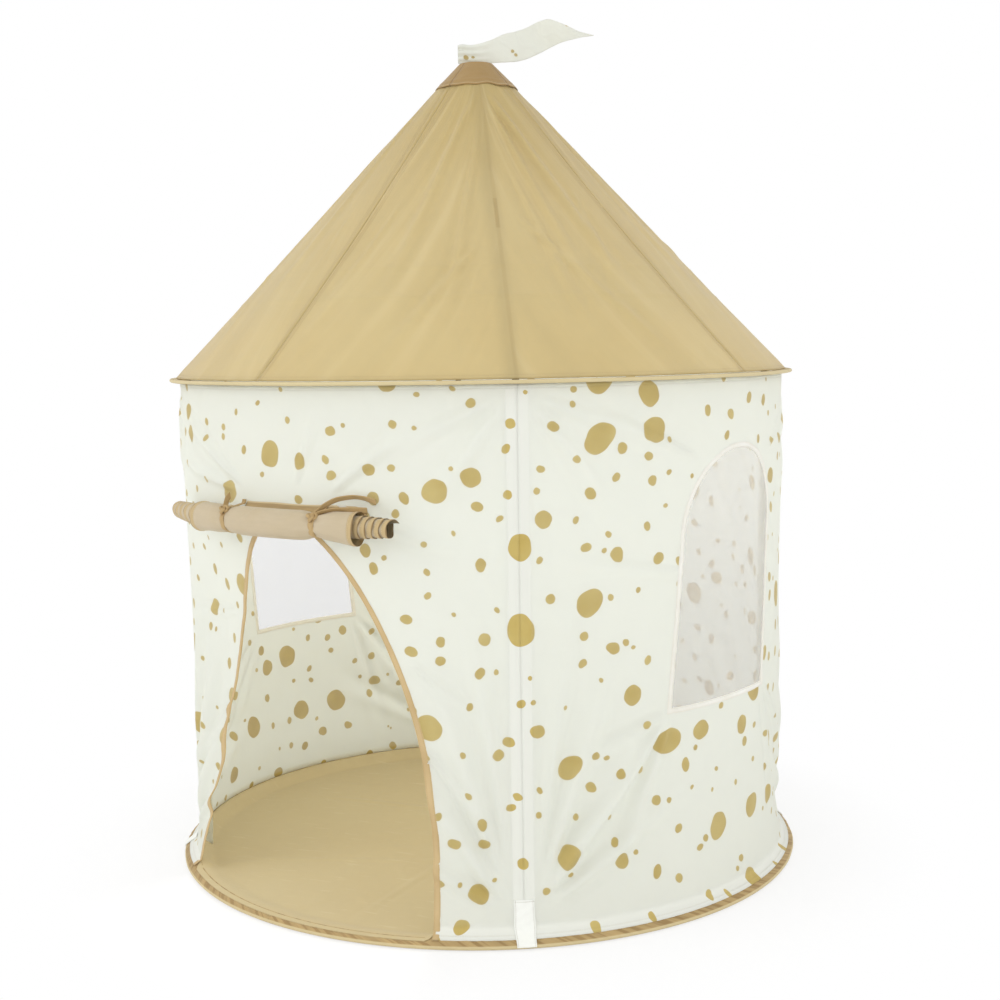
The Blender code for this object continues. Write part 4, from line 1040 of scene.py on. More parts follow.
class Finish:
    """A new material, or world, and the tree that draws it."""

    def __init__(self, name, owners="materials"):
        self.owner = getattr(bpy.data, owners).new(name)
        self.owner.use_nodes = True
        self.tree = self.owner.node_tree
        self.tree.nodes.clear()

    def node(self, kind, values=(), output=0, **settings):
        """Adds a node: its settings first, then a value or a Signal for each socket by number or
        name."""
        made = self.tree.nodes.new(kind)
        for name, value in settings.items():
            setattr(made, name, value)
        for key, value in values.items() if isinstance(values, dict) else enumerate(values):
            if isinstance(value, Signal):
                self.tree.links.new(value.socket, made.inputs[key])
            else:
                made.inputs[key].default_value = value
        return Signal(self, made.outputs[output]) if len(made.outputs) else None

    def place(self):
        return self.node("ShaderNodeTexCoord", output="Object")

    def split(self, vector):
        parts = self.node("ShaderNodeSeparateXYZ", [vector])
        return [parts.also(axis) for axis in "XYZ"]

    def vector(self, x, y, z=0.0):
        return self.node("ShaderNodeCombineXYZ", [x, y, z])

    def vector_maths(self, operation, values):
        return self.node("ShaderNodeVectorMath", values, operation=operation)

    def scaled(self, vector, by):
        return self.vector_maths("SCALE", {0: vector, "Scale": by})

    def moved(self, vector, by):
        return self.vector_maths("ADD", [vector, by])

    def noise(self, vector, scale, detail=3.0, roughness=0.5, flat=False):
        values = {"Vector": vector, "Scale": scale, "Detail": detail, "Roughness": roughness}
        return self.node("ShaderNodeTexNoise", values, noise_dimensions="2D" if flat else "3D")

    def grain(self, *values):
        """A noise less its mean."""
        return self.noise(*values) - 0.5

    def crumple(self, place, scale, depth):
        """Soft dents with a few sharper creases, as a height in metres."""
        soft = self.grain(place, scale, 4.0)
        crease = 1 - abs(self.grain(place, scale * 0.45, 2.0, 0.4)).rise(0.0, 0.05)
        return soft * depth + crease * (0.35 * depth)

    def mix(self, share, first, second, kind="MIX"):
        """A mix of two colours."""
        values = {0: share, 6: first, 7: second}
        return self.node("ShaderNodeMix", values, 2, data_type="RGBA", blend_type=kind)

    def coats(self, colour, *coats):
        """A colour under coats, each the share that it covers and its red, green and blue."""
        for share, coat in coats:
            colour = self.mix(share, colour, linear(*coat))
        return colour

    def shade(self, colour, share):
        """The colour times a number."""
        return self.mix(1.0, colour, self.vector(share, share, share), "MULTIPLY")

    def relief(self, height):
        """A Bump for a height in metres."""
        return self.node("ShaderNodeBump", {"Strength": 1.0, "Distance": 1.0, "Height": height})

    def principled(self, colour, roughness, normal, **others):
        """A Principled surface; the others are its sockets with _ for a space."""
        values = {"Base Color": colour, "Roughness": roughness}
        values.update({name.replace("_", " "): value for name, value in others.items()})
        if normal:
            values["Normal"] = normal
        return self.node("ShaderNodeBsdfPrincipled", values)

    def glow(self, colour, normal):
        """A surface that only lets light through."""
        return self.node("ShaderNodeBsdfTranslucent", {"Color": colour, "Normal": normal})

    def blended(self, share, first, second):
        return self.node("ShaderNodeMixShader", [share, first, second])

    def out(self, shader):
        self.node("ShaderNodeOutputMaterial", [shader])
        return self.owner

    def cloth(self, colour, roughness, height, glow, through, sheen=0.12):
        """Cloth: a Principled surface that lets some light through in the colour glow."""
        normal = self.relief(height)
        nap = {"Sheen_Weight": sheen, "Sheen_Roughness": 0.45}
        front = self.principled(colour, roughness, normal, Specular_IOR_Level=0.28, **nap)
        return self.out(self.blended(through, front, self.glow(glow, normal)))


def begun(name):
    """A new finish, its cloth map, and the metres across and up or along it."""
    f = Finish(name)
    cloth = f.node("ShaderNodeUVMap", uv_map="Cloth")
    x, y, _ = f.split(cloth)
    return f, cloth, x, y


def weave(x, y, pitch=WEAVE):
    """A plain weave: the product of a sine across and a sine along, from -1 to 1."""
    number = 2 * pi / pitch
    return (x * number).sine() * (y * number).sine()


def stitches(along, away, step=STITCH, gap=0.30, width=0.0006):
    """A row of stitches: 1 on each thread, from metres along the row and metres away from it."""
    dash = along.remainder(step).rise(step * gap * 0.8, step * gap)
    return dash * (1 - abs(away).rise(width * 0.5, width))


def cells(f, place, feature, output=0):
    """The nearest points, as feature says, of a jittered grid with a pitch of 1."""
    values = {"Vector": place, "Scale": 1.0, "Randomness": 0.92}
    kind = {"voronoi_dimensions": "2D", "feature": feature}
    return f.node("ShaderNodeTexVoronoi", values, output, **kind)


def pebbles(f, place, cell, least, most, curve, keep_clear=None):
    """Printed pebbles, one to each cell of a jittered grid: a circle drawn long one way and bent
    by a noise of the angle round its middle. Its radius lies between two sizes, but is less than
    0.7 of half the way to its neighbour. keep_clear is an outer (cell, least, most, curve) whose
    pebbles these stay off."""
    scaled = f.scaled(place, 1 / cell)
    near = cells(f, scaled, "F1")
    dice = f.split(near.also("Color"))
    spot = near.also("Position")
    away = f.vector_maths("SUBTRACT", [scaled, spot])
    values = {"Vector": away, "Angle": dice[1] * pi}
    x, y, _ = f.split(f.node("ShaderNodeVectorRotate", values, rotation_type="Z_AXIS"))
    long = 1.0 + dice[2] * 0.19
    length = ((x / long) ** 2.0 + (y * long) ** 2.0) ** 0.5
    room = cells(f, scaled, "N_SPHERE_RADIUS", "Radius")
    radius = (dice[0] ** curve) * ((most - least) / cell) + least / cell
    radius = radius.least(room * 0.70)
    kept = radius > PEBBLE_LEAST / cell
    if keep_clear:
        wide, small, large, power = keep_clear
        for feature in ("F1", "F2"):
            other = cells(f, f.scaled(spot, cell / wide), feature)
            size = (f.split(other.also("Color"))[0] ** power) * (large - small) + small
            kept = kept * (other * wide - size - radius * cell > PEBBLE_GAP)
    way = f.scaled(f.vector_maths("NORMALIZE", [away]), 0.6)
    bent = f.grain(f.moved(way, f.scaled(spot, 7.3)), 1.0, 1.0, 0.4, True)
    radius = radius * (1 + bent * 0.44)
    soft = 0.0005 / cell
    return (1 - (length - radius).rise(-soft, soft)) * kept


def wall_finish(name, side, inside):
    """Cream cloth with gold pebbles printed on its outer side, in one pattern that runs on from
    wall to wall. It is denser where a pole sleeve or the base sleeve backs it."""
    tent = sizes("walls")
    f, cloth, x, y = begun(name)
    turn = {"left": -1, "front": 0, "right": 1, "back": 2}[side]
    place = f.moved(cloth, (turn * pi / 2 * WALL_MAP_RADIUS + 4.31, 2.07, 0.0))
    large = [value * tent.dot_scale for value in (0.118, 0.0086, 0.0225)] + [0.85]
    small = [value * tent.dot_scale for value in (0.053, 0.0032, 0.0094)] + [1.15]
    cover = pebbles(f, place, *large).most(pebbles(f, place, *small, keep_clear=large))
    patchy = f.grain(cloth, 60.0, 3.0, 0.6)
    slow = f.grain(cloth, 5.0)
    gold = f.coats(tent.gold, (0.5 + f.grain(cloth, 21.0, 2.0) * 1.6, (207, 187, 118)))
    gold = f.shade(gold, 1 + patchy * 0.10)
    cream = f.shade(tuple(tent.cream), 1 + slow * 0.03 + patchy * 0.012)
    sleeve = 1 - abs(abs(x) - WALL_SEAM).rise(0.0140, 0.0185)
    backed = sleeve.most(1 - y.rise(0.0240, 0.0330))
    cream = f.coats(cream, (backed, (236, 237, 228)))
    threads = weave(x, y)
    seam = stitches(x, y - (WALL_HEAD - 0.006)) + stitches(x, y - (WALL_HEM + 0.004))
    cream = f.coats(cream, (seam * 0.22, (214, 207, 186)))
    colour = f.mix(cover, cream, gold)
    roughness = 0.80 - cover * (0.10 if inside else 0.26) + patchy * 0.06
    height = f.crumple(cloth, 11.0, 0.0011) + threads * 0.00003 - seam * 0.0003
    through = (0.42 - backed * 0.32) * (1 - cover * 0.30)
    return f.cloth(colour, roughness, height + cover * 0.00003, linear(246, 248, 244), through)


def flag_finish(name):
    """The flag's cream cloth with a few small gold pebbles."""
    tent = sizes("walls")
    f, cloth, x, y = begun(name)
    dots = pebbles(f, f.moved(cloth, (1.37, 2.62, 0.0)), 0.035, 0.0026, 0.0066, 1.3)
    slow = f.grain(cloth, 30.0)
    cream = f.shade(tuple(tent.cream), 1 + slow * 0.05)
    colour = f.mix(dots, cream, f.shade(tuple(tent.gold), 1 + slow * 0.2))
    height = f.crumple(cloth, 40.0, 0.0012) + weave(x, y) * 0.00003
    return f.cloth(colour, 0.80 - dots * 0.2, height, linear(244, 243, 232), 0.40)


def roof_finish(name):
    """Tan cloth, a little glossy, with felled seams along its sides and rows of stitches. Painted
    shade darkens it towards the point. A painted shadow of the pole runs down its middle, darker
    where the ferrule is, with a soft painted shade beside it, and pale streaks of painted
    highlight fan out down it."""
    f, cloth, x, y = begun(name)
    slow = f.grain(cloth, 4.5)
    patchy = f.grain(cloth, 48.0, 4.0, 0.6)
    edge = (CROWN - ROOF_FOOT) * ROOF_SLOPE / ROOF_RUN
    turn = abs(x) / (ROOF_EAVE_RADIUS - y * edge)
    fan = f.vector(turn * 5.4 + y * 3.9, y * 0.9 + (x > 0.0) * 3.7, 0.0)
    streak = f.grain(fan, 1.8, 3.0, 0.55, True)
    line = (ROOF_EAVE_RADIUS - y * edge) * (pi / 4) - abs(x)
    colour = f.coats(
        tuple(sizes("roof").tan),
        (0.5 + slow * 1.4, (226, 211, 162)),
        # painted shade: the tan darkens towards the point
        (y.rise(0.30, 0.70) * 0.75, (205, 184, 124)),
    )
    # painted highlight: the fanned streaks lighten and darken the tan and lay pale glare on it;
    # the same streaks also shape the bump and roughness
    colour = f.shade(colour, 1 + patchy * 0.05 + streak * 0.15)
    colour = f.coats(colour, (streak.rise(0.04, 0.24) * 0.36, (233, 219, 175)))
    seam = stitches(y, line - 0.0040) + stitches(y, line - 0.0085) + stitches(x, y - 0.007)
    felled = (1 - line.rise(0.0088, 0.0100)) * 0.25
    # painted shadow of the pole under the cloth, darker over its ferrule, with a soft painted
    # shade beside it
    pole = 1 - abs(x).rise(0.0018, 0.0042)
    shadow = (1 - abs(x + 0.006).rise(0.0, 0.020)) * 0.10
    up = ROOF_RUN / (CROWN - ROOF_HEAD - ROOF_FOOT)
    ends = (FERRULE_LOW, FERRULE_HIGH)
    low, high = ((y - (end - ROOF_FOOT) * up).rise(0.0, 0.002) for end in ends)
    colour = f.coats(
        f.shade(colour, 1 - shadow),
        (pole * (0.14 + low * (1 - high) * 0.26), (170, 142, 90)),
        (felled, (202, 180, 128)),
        (seam * 0.30, (184, 160, 110)),
    )
    threads = weave(x, y, 0.0012)
    height = f.crumple(cloth, 9.0, 0.0014) + streak * 0.0012 + threads * 0.00003
    height = height - seam * 0.0003 + felled * 0.0006
    roughness = 0.40 + patchy * 0.10 + streak * 0.08
    return f.cloth(colour, roughness, height, linear(232, 214, 160), 0.36, 0.2)


def cap_finish(name):
    """The doubled cloth of the point: a browner tan, darker at its four joints, with a paler row
    of stitches above its hem."""
    f, _, x, y = begun(name)
    place = f.place()
    slow = f.grain(place, 14.0)
    patchy = f.grain(place, 90.0, 3.0, 0.6)
    hem = CROWN_RADIUS + CAP_DROP * ROOF_SLANT
    colour = f.coats(tuple(sizes("roof").cap), (0.5 + slow * 1.6, (161, 131, 82)))
    quarter = (x / CAP_GIRTH * 4 + 0.5).remainder(1.0)
    joint = 1 - abs(quarter - 0.5).rise(0.012, 0.030)
    seam = stitches(x, y - (hem - 0.0040), 0.0024, 0.2, 0.0009)
    colour = f.coats(
        f.shade(colour, 1 + patchy * 0.07),
        (joint * 0.55, (138, 106, 62)),
        (seam * 0.75, (214, 193, 150)),
    )
    height = f.crumple(place, 30.0, 0.0010) + weave(x, y, 0.0012) * 0.00003
    height = height - seam * 0.0003 - joint * 0.0008
    return f.cloth(colour, 0.62 + patchy * 0.1, height, linear(186, 150, 92), 0.08, 0.2)


def floor_finish(name):
    """The floor's plain tan cloth, dulled where it is stepped on."""
    f = Finish(name)
    place = f.place()
    x, y, _ = f.split(place)
    slow = f.grain(place, 2.6, 4.0, 0.55)
    patchy = f.grain(place, 70.0, 3.0, 0.6)
    colour = f.coats(tuple(sizes("bands").floor), (0.5 + slow * 1.3, (197, 178, 135)))
    steps = f.vector(x * 3.0 + y, y * 14.0 - x * 5.0, 0.0)
    scuffs = f.noise(steps, 5.0, 4.0, 0.6, True).rise(0.60, 0.76)
    colour = f.coats(f.shade(colour, 1 + patchy * 0.06), (scuffs * 0.30, (218, 205, 168)))
    height = f.crumple(place, 10.0, 0.0016) + weave(x, y, 0.0013) * 0.00005
    return f.cloth(colour, 0.72 + patchy * 0.1, height, linear(200, 180, 130), 0.04)


def band_finish(name, colour, piping, wide, seam_at, crease_shade):
    """A gathered tape: painted shade across its slanting puckers and painted dark shadow lines in
    the creases of its gathers, a paler piped edge and a row of stitches along its seam."""
    f, _, x, y = begun(name)
    place = f.place()
    slow = f.grain(place, 9.0)
    slant = f.grain(f.vector(x + y * 1.6, y * 0.12, 0.0), 48.0, 3.0, 0.55, True)
    patchy = f.grain(place, 120.0, 3.0, 0.6)
    tape = f.coats(tuple(colour), (0.5 + slow * 1.2, (176, 150, 104)))
    # painted shade: the slanting puckers darken and lighten the tape
    tape = f.shade(tape, 1 + patchy * 0.08 + slant * 0.55)
    # painted shadow: dark lines where the gathers crease
    gathers = f.noise(f.vector(x + y * 1.4, y * 0.10, 0.0), 92.0, 2.0, 0.5, True)
    gathers = gathers.rise(0.50, 0.62) * y.rise(piping, piping + 0.007)
    edge = 1 - abs(y - piping).rise(wide * 0.7, wide)
    seam = stitches(x, y - seam_at, 0.0032)
    tape = f.coats(
        tape,
        (gathers * crease_shade, (136, 106, 62)),
        (edge * 0.8, (216, 200, 156)),
        (seam * 0.5, (158, 134, 92)),
    )
    height = slant * 0.0012 + f.crumple(place, 60.0, 0.0004) - seam * 0.0003
    height = height + weave(x, y) * 0.00004
    return f.cloth(tape, 0.70 + patchy * 0.1, height, linear(196, 170, 120), 0.03)


def door_finish(name, inside):
    """The door's own cloth, greyer than the roof, with a tan binding round its edge and a tape at
    its seam. A dark line of painted shadow runs along each edge, where the wound turns meet, and
    on the inner side painted shade darkens the inner turns."""
    f, _, x, y = begun(name)
    place = f.place()
    slow = f.grain(place, 16.0)
    patchy = f.grain(place, 110.0, 3.0, 0.6)
    drawn = f.grain(f.vector(x * 3.0, y * 22.0, 0.0), 4.0, 3.0, 0.5, True)
    body = linear(199, 180, 128) if inside else tuple(sizes("door").cloth_colour)
    colour = f.coats(body, (0.5 + slow * 1.3, (196, 178, 144)))
    bound = 1 - x.rise(0.0090, 0.0096)
    seam = stitches(y, x - 0.0078, 0.0032)
    colour = f.coats(
        f.shade(colour, 1 + patchy * 0.06 + drawn * 0.08),
        (bound, (198, 174, 128)),
        (seam * 0.5, (222, 206, 172)),
        # painted shadow: a dark line at each edge, in the gaps between the wound turns
        ((1 - x.rise(0.0008, 0.0020)) * 0.75, (132, 104, 66)),
    )
    tape = f.shade(linear(176, 148, 102), 1 + drawn * 1.2)
    colour = f.mix((1 - y.rise(0.0105, 0.0125)) * 0.75, colour, tape)
    colour = f.coats(colour, ((1 - y.rise(0.0016, 0.0026)) * 0.8, (218, 200, 160)))
    # painted shade: the inner turns, deep inside the roll, are darkened
    if inside:
        colour = f.shade(colour, 1 - y.rise(0.30, 0.42) * 0.55)
    height = f.crumple(place, 34.0, 0.0012) + drawn * 0.0006 + bound * 0.0004
    height = height - seam * 0.0003 + weave(x, y) * 0.00004
    return f.cloth(colour, 0.66 + patchy * 0.1, height, linear(204, 184, 140), 0.06, 0.2)


def tape_finish(name, colour, dark, width, through=0.1):
    """A woven tape or binding: cross ribs, a row of stitches near each edge and patches of a
    darker tone.
    """
    f, _, x, y = begun(name)
    place = f.place()
    slow = f.grain(place, 20.0)
    patchy = f.grain(place, 160.0, 3.0, 0.6)
    colour, dark = linear(*colour), linear(*dark)
    shade = f.shade(f.mix(0.5 + slow * 1.3, colour, dark), 1 + patchy * 0.10)
    seam = stitches(x, abs(y - width / 2) - width * 0.34, 0.0030)
    shade = f.mix(seam * 0.45, shade, dark)
    ribs = (x * (2 * pi / 0.0009)).sine()
    height = ribs * 0.00004 + f.crumple(place, 90.0, 0.0004) - seam * 0.00025
    return f.cloth(shade, 0.74 + patchy * 0.1, height, colour, through)


def net_finish(name):
    """The window's net: fine white threads round small open holes."""
    f, cloth, x, y = begun(name)
    number = 2 * pi / 0.0016
    holes = ((x + y * 0.5) * number).sine() * ((x - y * 0.5) * number).sine()
    slow = f.grain(cloth, 6.0, 2.0)
    cover = sizes("walls").net_cover + slow * 0.05 - holes * 0.12
    colour = f.shade(linear(226, 228, 234), 1 + slow * 0.02)
    normal = f.relief(holes * 0.00008 + f.crumple(cloth, 9.0, 0.0008))
    front = f.principled(colour, 0.72 + slow * 0.05, normal, Specular_IOR_Level=0.25)
    threads = f.blended(0.5, front, f.glow(linear(234, 236, 240), normal))
    return f.out(f.blended(cover, f.node("ShaderNodeBsdfTransparent"), threads))


def patch_finish(name):
    """The foot tab's white cloth, stitched along its sides and across it."""
    f, cloth, x, y = begun(name)
    patchy = f.grain(cloth, 120.0, 3.0, 0.6)
    slow = f.grain(cloth, 30.0, 2.0)
    seam = stitches(y, abs(x) - 0.0128, 0.0030) + stitches(x, y - 0.0030, 0.0030)
    colour = f.shade(linear(251, 252, 246), 1 + slow * 0.03 + patchy * 0.02)
    colour = f.coats(colour, (seam * 0.55, (196, 190, 172)))
    height = f.crumple(cloth, 60.0, 0.0006) - seam * 0.0003 + weave(x, y) * 0.00004
    return f.cloth(colour, 0.70 + patchy * 0.1, height, linear(250, 250, 246), 0.10)


def rod_finish(name):
    """Grey fibreglass with fine streaks along it."""
    f, _, x, y = begun(name)
    streak = f.grain(f.vector(x * 1400.0, y * 6.0, 0.0), 1.0, 3.0, 0.6, True)
    patchy = f.grain(f.place(), 40.0, 3.0, 0.6)
    colour = f.shade(tuple(sizes("poles").rod), 1 + streak * 0.25 + patchy * 0.1)
    normal, coat = f.relief(streak * 0.00008), 0.15 + patchy * 0.1
    return f.out(f.principled(colour, 0.42 + streak * 0.12, normal, Coat_Weight=coat))


def steel_finish(name):
    """Drawn steel: long fine scratches and a few dull spots."""
    f = Finish(name)
    place = f.place()
    x, y, z = f.split(place)
    scratch = f.grain(f.vector(x * 300.0, y * 300.0, z * 12.0), 2.0, 4.0, 0.6)
    dull = f.noise(place, 55.0, 3.0, 0.6).rise(0.52, 0.70)
    colour = f.coats(linear(182, 184, 188), (dull * 0.5, (140, 138, 134)))
    roughness = 0.26 + scratch * 0.14 + dull * 0.2
    return f.out(f.principled(colour, roughness, f.relief(scratch * 0.00005), Metallic=1.0))


def moulded_finish(name):
    """Black moulded plastic with a fine grain and paler rubbed spots."""
    f = Finish(name)
    place = f.place()
    grain = f.grain(place, 900.0, 2.0, 0.6)
    rubbed = f.noise(place, 45.0, 3.0, 0.6).rise(0.55, 0.72)
    colour = f.coats(linear(38, 38, 40), (rubbed * 0.4, (72, 72, 72)))
    roughness = 0.46 + grain * 0.2 + rubbed * 0.12
    return f.out(f.principled(colour, roughness, f.relief(grain * 0.00010)))


FINISHES = {}


def finish_of(name, maker, *values):
    """The named finish, made the first time that it is asked for."""
    if name not in FINISHES:
        FINISHES[name] = maker(name + "_finish", *values)
    return FINISHES[name]


def dress(obj, node, body, slot, *finishes, thickness=None):
    """Gives a piece its materials, hides the node it stands for and puts it on its body. The slot
    is not used. A sheet also gets its thickness; its second material, if it has one, is its inner
    side."""
    for finish in finishes:
        obj.data.materials.append(finish)
    if thickness:
        solid = obj.modifiers.new("Thickness", "SOLIDIFY")
        solid.thickness = thickness
        solid.offset = 0.0
        solid.material_offset = len(finishes) - 1
        solid.material_offset_rim = 0
    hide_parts(node)
    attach(obj, body)


# ---------------------------------------------------------------- sizes and colours


def number(name, description, default, low=0.0, high=10.0, **kind):
    limits = {"default": default, "min": low, "max": high}
    return bpy.props.FloatProperty(name=name, description=description, **limits, **kind)


def metres(*values):
    return number(*values, precision=4, unit="LENGTH")


def factor(*values):
    return number(*values, subtype="FACTOR")


def watts(name, description, default):
    return number(name, description, default, 0.0, 1000.0, unit="POWER")


def tint(name, description, *channels):
    kind = {"size": 4, "min": 0, "max": 1, "default": linear(*channels), "subtype": "COLOR"}
    return bpy.props.FloatVectorProperty(name=name, description=description, **kind)


class TentWallSizes(bpy.types.PropertyGroup):
    """Walls, windows and the cloth's print."""

    cloth: metres("Cloth", "Thickness of the wall cloth", 0.0012)
    fold_depth: factor("Folds", "How deep the walls' folds are", 1.2, 0.0, 2.0)
    binding: metres("Binding", "Thickness of the door and window bindings", 0.0024)
    net: metres("Net", "Thickness of the window net", 0.0006)
    net_cover: factor(
        "Net cover", "How much of each of the net's two faces is thread", 0.36, 0.0, 1.0
    )
    dot_scale: factor("Print scale", "Size of the printed pebbles", 1.0, 0.3, 3.0)
    cream: tint("Cream", "The wall cloth", 240, 242, 236)
    gold: tint("Gold", "The printed pebbles", 189, 163, 84)


class TentRoofSizes(bpy.types.PropertyGroup):
    """Roof quarters and the doubled point."""

    cloth: metres("Cloth", "Thickness of the roof cloth", 0.0012)
    cap_cloth: metres("Point cloth", "Thickness of the doubled cloth", 0.0010)
    fold_depth: factor("Folds", "How deep the roof's folds are", 1.35, 0.0, 2.0)
    tan: tint("Tan", "The roof cloth", 219, 200, 147)
    cap: tint("Point", "The doubled cloth of the point", 173, 142, 90)


class TentBandSizes(bpy.types.PropertyGroup):
    """The hoop sleeves and the floor."""

    pucker_depth: metres("Puckers", "Depth of the base sleeve's puckers", 0.0022, 0.0, 0.01)
    floor_cloth: metres("Floor cloth", "Thickness of the floor cloth", 0.0012)
    floor: tint("Floor", "The floor cloth", 203, 188, 147)
    base: tint("Base sleeve", "The sleeve of the base hoop", 182, 156, 108)
    eave: tint("Eave sleeve", "The sleeve of the eave hoop", 214, 204, 162)


class TentDoorSizes(bpy.types.PropertyGroup):
    """The rolled door and its ties."""

    turns: bpy.props.IntProperty(
        name="Turns", description="How often the door is wound", default=6, min=3, max=10
    )
    roll_radius: metres("Roll", "Radius of the wound door", 0.0212)
    cloth: metres("Cloth", "Thickness of the door cloth", 0.0005)
    cloth_colour: tint("Door", "The door cloth", 203, 188, 161)
    tie_cloth: metres("Tie", "Thickness of the ties", 0.0009)


class TentFlagSizes(bpy.types.PropertyGroup):
    """The flag on the roof's point."""

    length: metres("Length", "Length of the flag", 0.229)
    height: metres("Height", "Height of the flag's highest wave", 0.0725)
    cloth: metres("Cloth", "Thickness of the flag", 0.0009)


class TentPoleSizes(bpy.types.PropertyGroup):
    """The four jointed poles."""

    radius: metres("Radius", "Radius of the fibreglass rods", 0.0035)
    rod: tint("Rod", "The fibreglass", 72, 74, 78)


class TentStageSizes(bpy.types.PropertyGroup):
    """The studio round the tent."""

    ambient: factor("Ambient", "Strength of the light from all sides", 0.96, 0.0, 4.0)
    key: watts("Key", "Power of the key lamp", 30.0)
    fill: watts("Fill", "Power of the fill lamp", 17.0)
    cabin: watts("Cabin", "Power of the lamp inside, under the roof", 3.6)
    focal_length: number("Lens", "Focal length of the camera", 53.82, 10, 200)


# ---------------------------------------------------------------- operators


class OBJECT_OT_tent_walls(bpy.types.Operator):
    """Makes the four walls."""

    bl_idname = "object.tent_walls"
    bl_label = "Walls"

    def execute(self, context):
        tent = sizes("walls")
        areas = {"front": 0.388, "right": 0.545, "back": None, "left": 0.545}
        for side, area in areas.items():
            wall = wall_piece(side)
            outer = finish_of("wall_cloth_" + side, wall_finish, side, False)
            inner = finish_of("wall_cloth_back_of_" + side, wall_finish, side, True)
            dress(wall, "wall_" + side, "tent", "wall_cloth", outer, inner, thickness=tent.cloth)
        return {"FINISHED"}


class OBJECT_OT_tent_openings(bpy.types.Operator):
    """Makes the bindings of the doorway and windows, and the window nets."""

    bl_idname = "object.tent_openings"
    bl_label = "Bindings and nets"

    def execute(self, context):
        tan = ((224, 199, 152), (198, 170, 122), BINDING_WIDTH)
        cream = ((253, 252, 247), (242, 238, 224), BINDING_WIDTH, 0.12)
        tape = finish_of("door_edge_tape", tape_finish, *tan)
        door = binding_piece("door_edge", "front", door_outline, False)
        dress(door, "door_binding", "tent", "band_tape", tape)
        for side in ("right", "left"):
            tape = finish_of("window_edge_tape", tape_finish, *cream)
            edge = binding_piece("window_edge_" + side, side, window_outline, True)
            dress(edge, "window_binding_" + side, "tent", "window_tape", tape)
            net = net_piece(side)
            cloth = finish_of("window_net", net_finish)
            dress(net, "window_net_" + side, "tent", "net", cloth, thickness=sizes("walls").net)
        return {"FINISHED"}


class OBJECT_OT_tent_pole_cloth(bpy.types.Operator):
    """Makes the sleeve inside each wall seam and the tab at each pole's foot."""

    bl_idname = "object.tent_pole_cloth"
    bl_label = "Pole sleeves and tabs"

    def execute(self, context):
        pale = ((244, 244, 232), (238, 237, 222), 0.03, 0.4)
        lining = finish_of("sleeve_tape", tape_finish, *pale)
        for corner, azimuth in POLE_AZIMUTHS.items():
            sleeve = sleeve_piece(corner, azimuth)
            node = "pole_sleeve_" + corner
            dress(sleeve, node, "tent", "wall_cloth", lining, thickness=SLEEVE_CLOTH)
            tab = patch_piece(corner, azimuth)
            tab_cloth = finish_of("foot_tab", patch_finish)
            dress(tab, "foot_patch_" + corner, "tent", "patch", tab_cloth, thickness=TAB_CLOTH)
        return {"FINISHED"}


class OBJECT_OT_tent_roof(bpy.types.Operator):
    """Makes the four roof quarters and the doubled point."""

    bl_idname = "object.tent_roof"
    bl_label = "Roof"

    def execute(self, context):
        roof = sizes("roof")
        cloth = finish_of("roof_cloth", roof_finish)
        for order, (corner, azimuth) in enumerate(POLE_AZIMUTHS.items()):
            quarter = roof_piece(corner, azimuth, order)
            node = "roof_gore_" + corner
            dress(quarter, node, "tent", "roof_cloth", cloth, thickness=roof.cloth)
        cap = cap_piece()
        cloth = finish_of("point_cloth", cap_finish)
        dress(cap, "roof_cap", "tent", "cap_cloth", cloth, thickness=roof.cap_cloth)
        return {"FINISHED"}


class OBJECT_OT_tent_bands(bpy.types.Operator):
    """Makes the sleeves of both hoops and the floor."""

    bl_idname = "object.tent_bands"
    bl_label = "Hoop sleeves and floor"

    def execute(self, context):
        bands = sizes("bands")
        section = [(BASE_RADIUS - inwards / 1000, up / 1000) for inwards, up in BASE_SECTION]
        base = ring_piece("base_sleeve", section, 900, base_waver)
        # the last value of each look is how dark the painted crease shadow is
        look = (tuple(bands.base), 0.0215, 0.0052, 0.0430, 0.55)
        dress(base, "base_band", "tent", "band_tape", finish_of("base_tape", band_finish, *look))
        eave = ring_piece("eave_sleeve", eave_section(), 720, eave_waver)
        look = (tuple(bands.eave), 0.0045, 0.0034, 0.0190, 0.12)
        dress(eave, "eave_band", "tent", "band_tape", finish_of("eave_tape", band_finish, *look))
        floor = floor_piece()
        cloth = finish_of("floor_cloth", floor_finish)
        dress(floor, "floor", "tent", "floor_cloth", cloth, thickness=bands.floor_cloth)
        return {"FINISHED"}


class OBJECT_OT_tent_door(bpy.types.Operator):
    """Makes the rolled door and its two ties."""

    bl_idname = "object.tent_door"
    bl_label = "Rolled door"

    def execute(self, context):
        door = sizes("door")
        roll = roll_piece()
        outer = finish_of("door_cloth", door_finish, False)
        inner = finish_of("door_cloth_inside", door_finish, True)
        dress(roll, "door_roll", "door", "door_cloth", outer, inner, thickness=door.cloth)
        look = ((212, 184, 134), (176, 146, 98), 0.0105)
        for side, run in (("left", 0.17), ("right", 0.34)):
            tie = tie_piece(side)
            tape_cloth = finish_of("tie_tape", tape_finish, *look)
            dress(tie, "tie_" + side, "door", "door_cloth", tape_cloth, thickness=door.tie_cloth)
        return {"FINISHED"}


class OBJECT_OT_tent_flag(bpy.types.Operator):
    """Makes the flag on the point."""

    bl_idname = "object.tent_flag"
    bl_label = "Flag"

    def execute(self, context):
        flag = flag_piece()
        cloth = finish_of("flag_cloth", flag_finish)
        dress(flag, "flag", "pennant", "wall_cloth", cloth, thickness=sizes("flag").cloth)
        return {"FINISHED"}


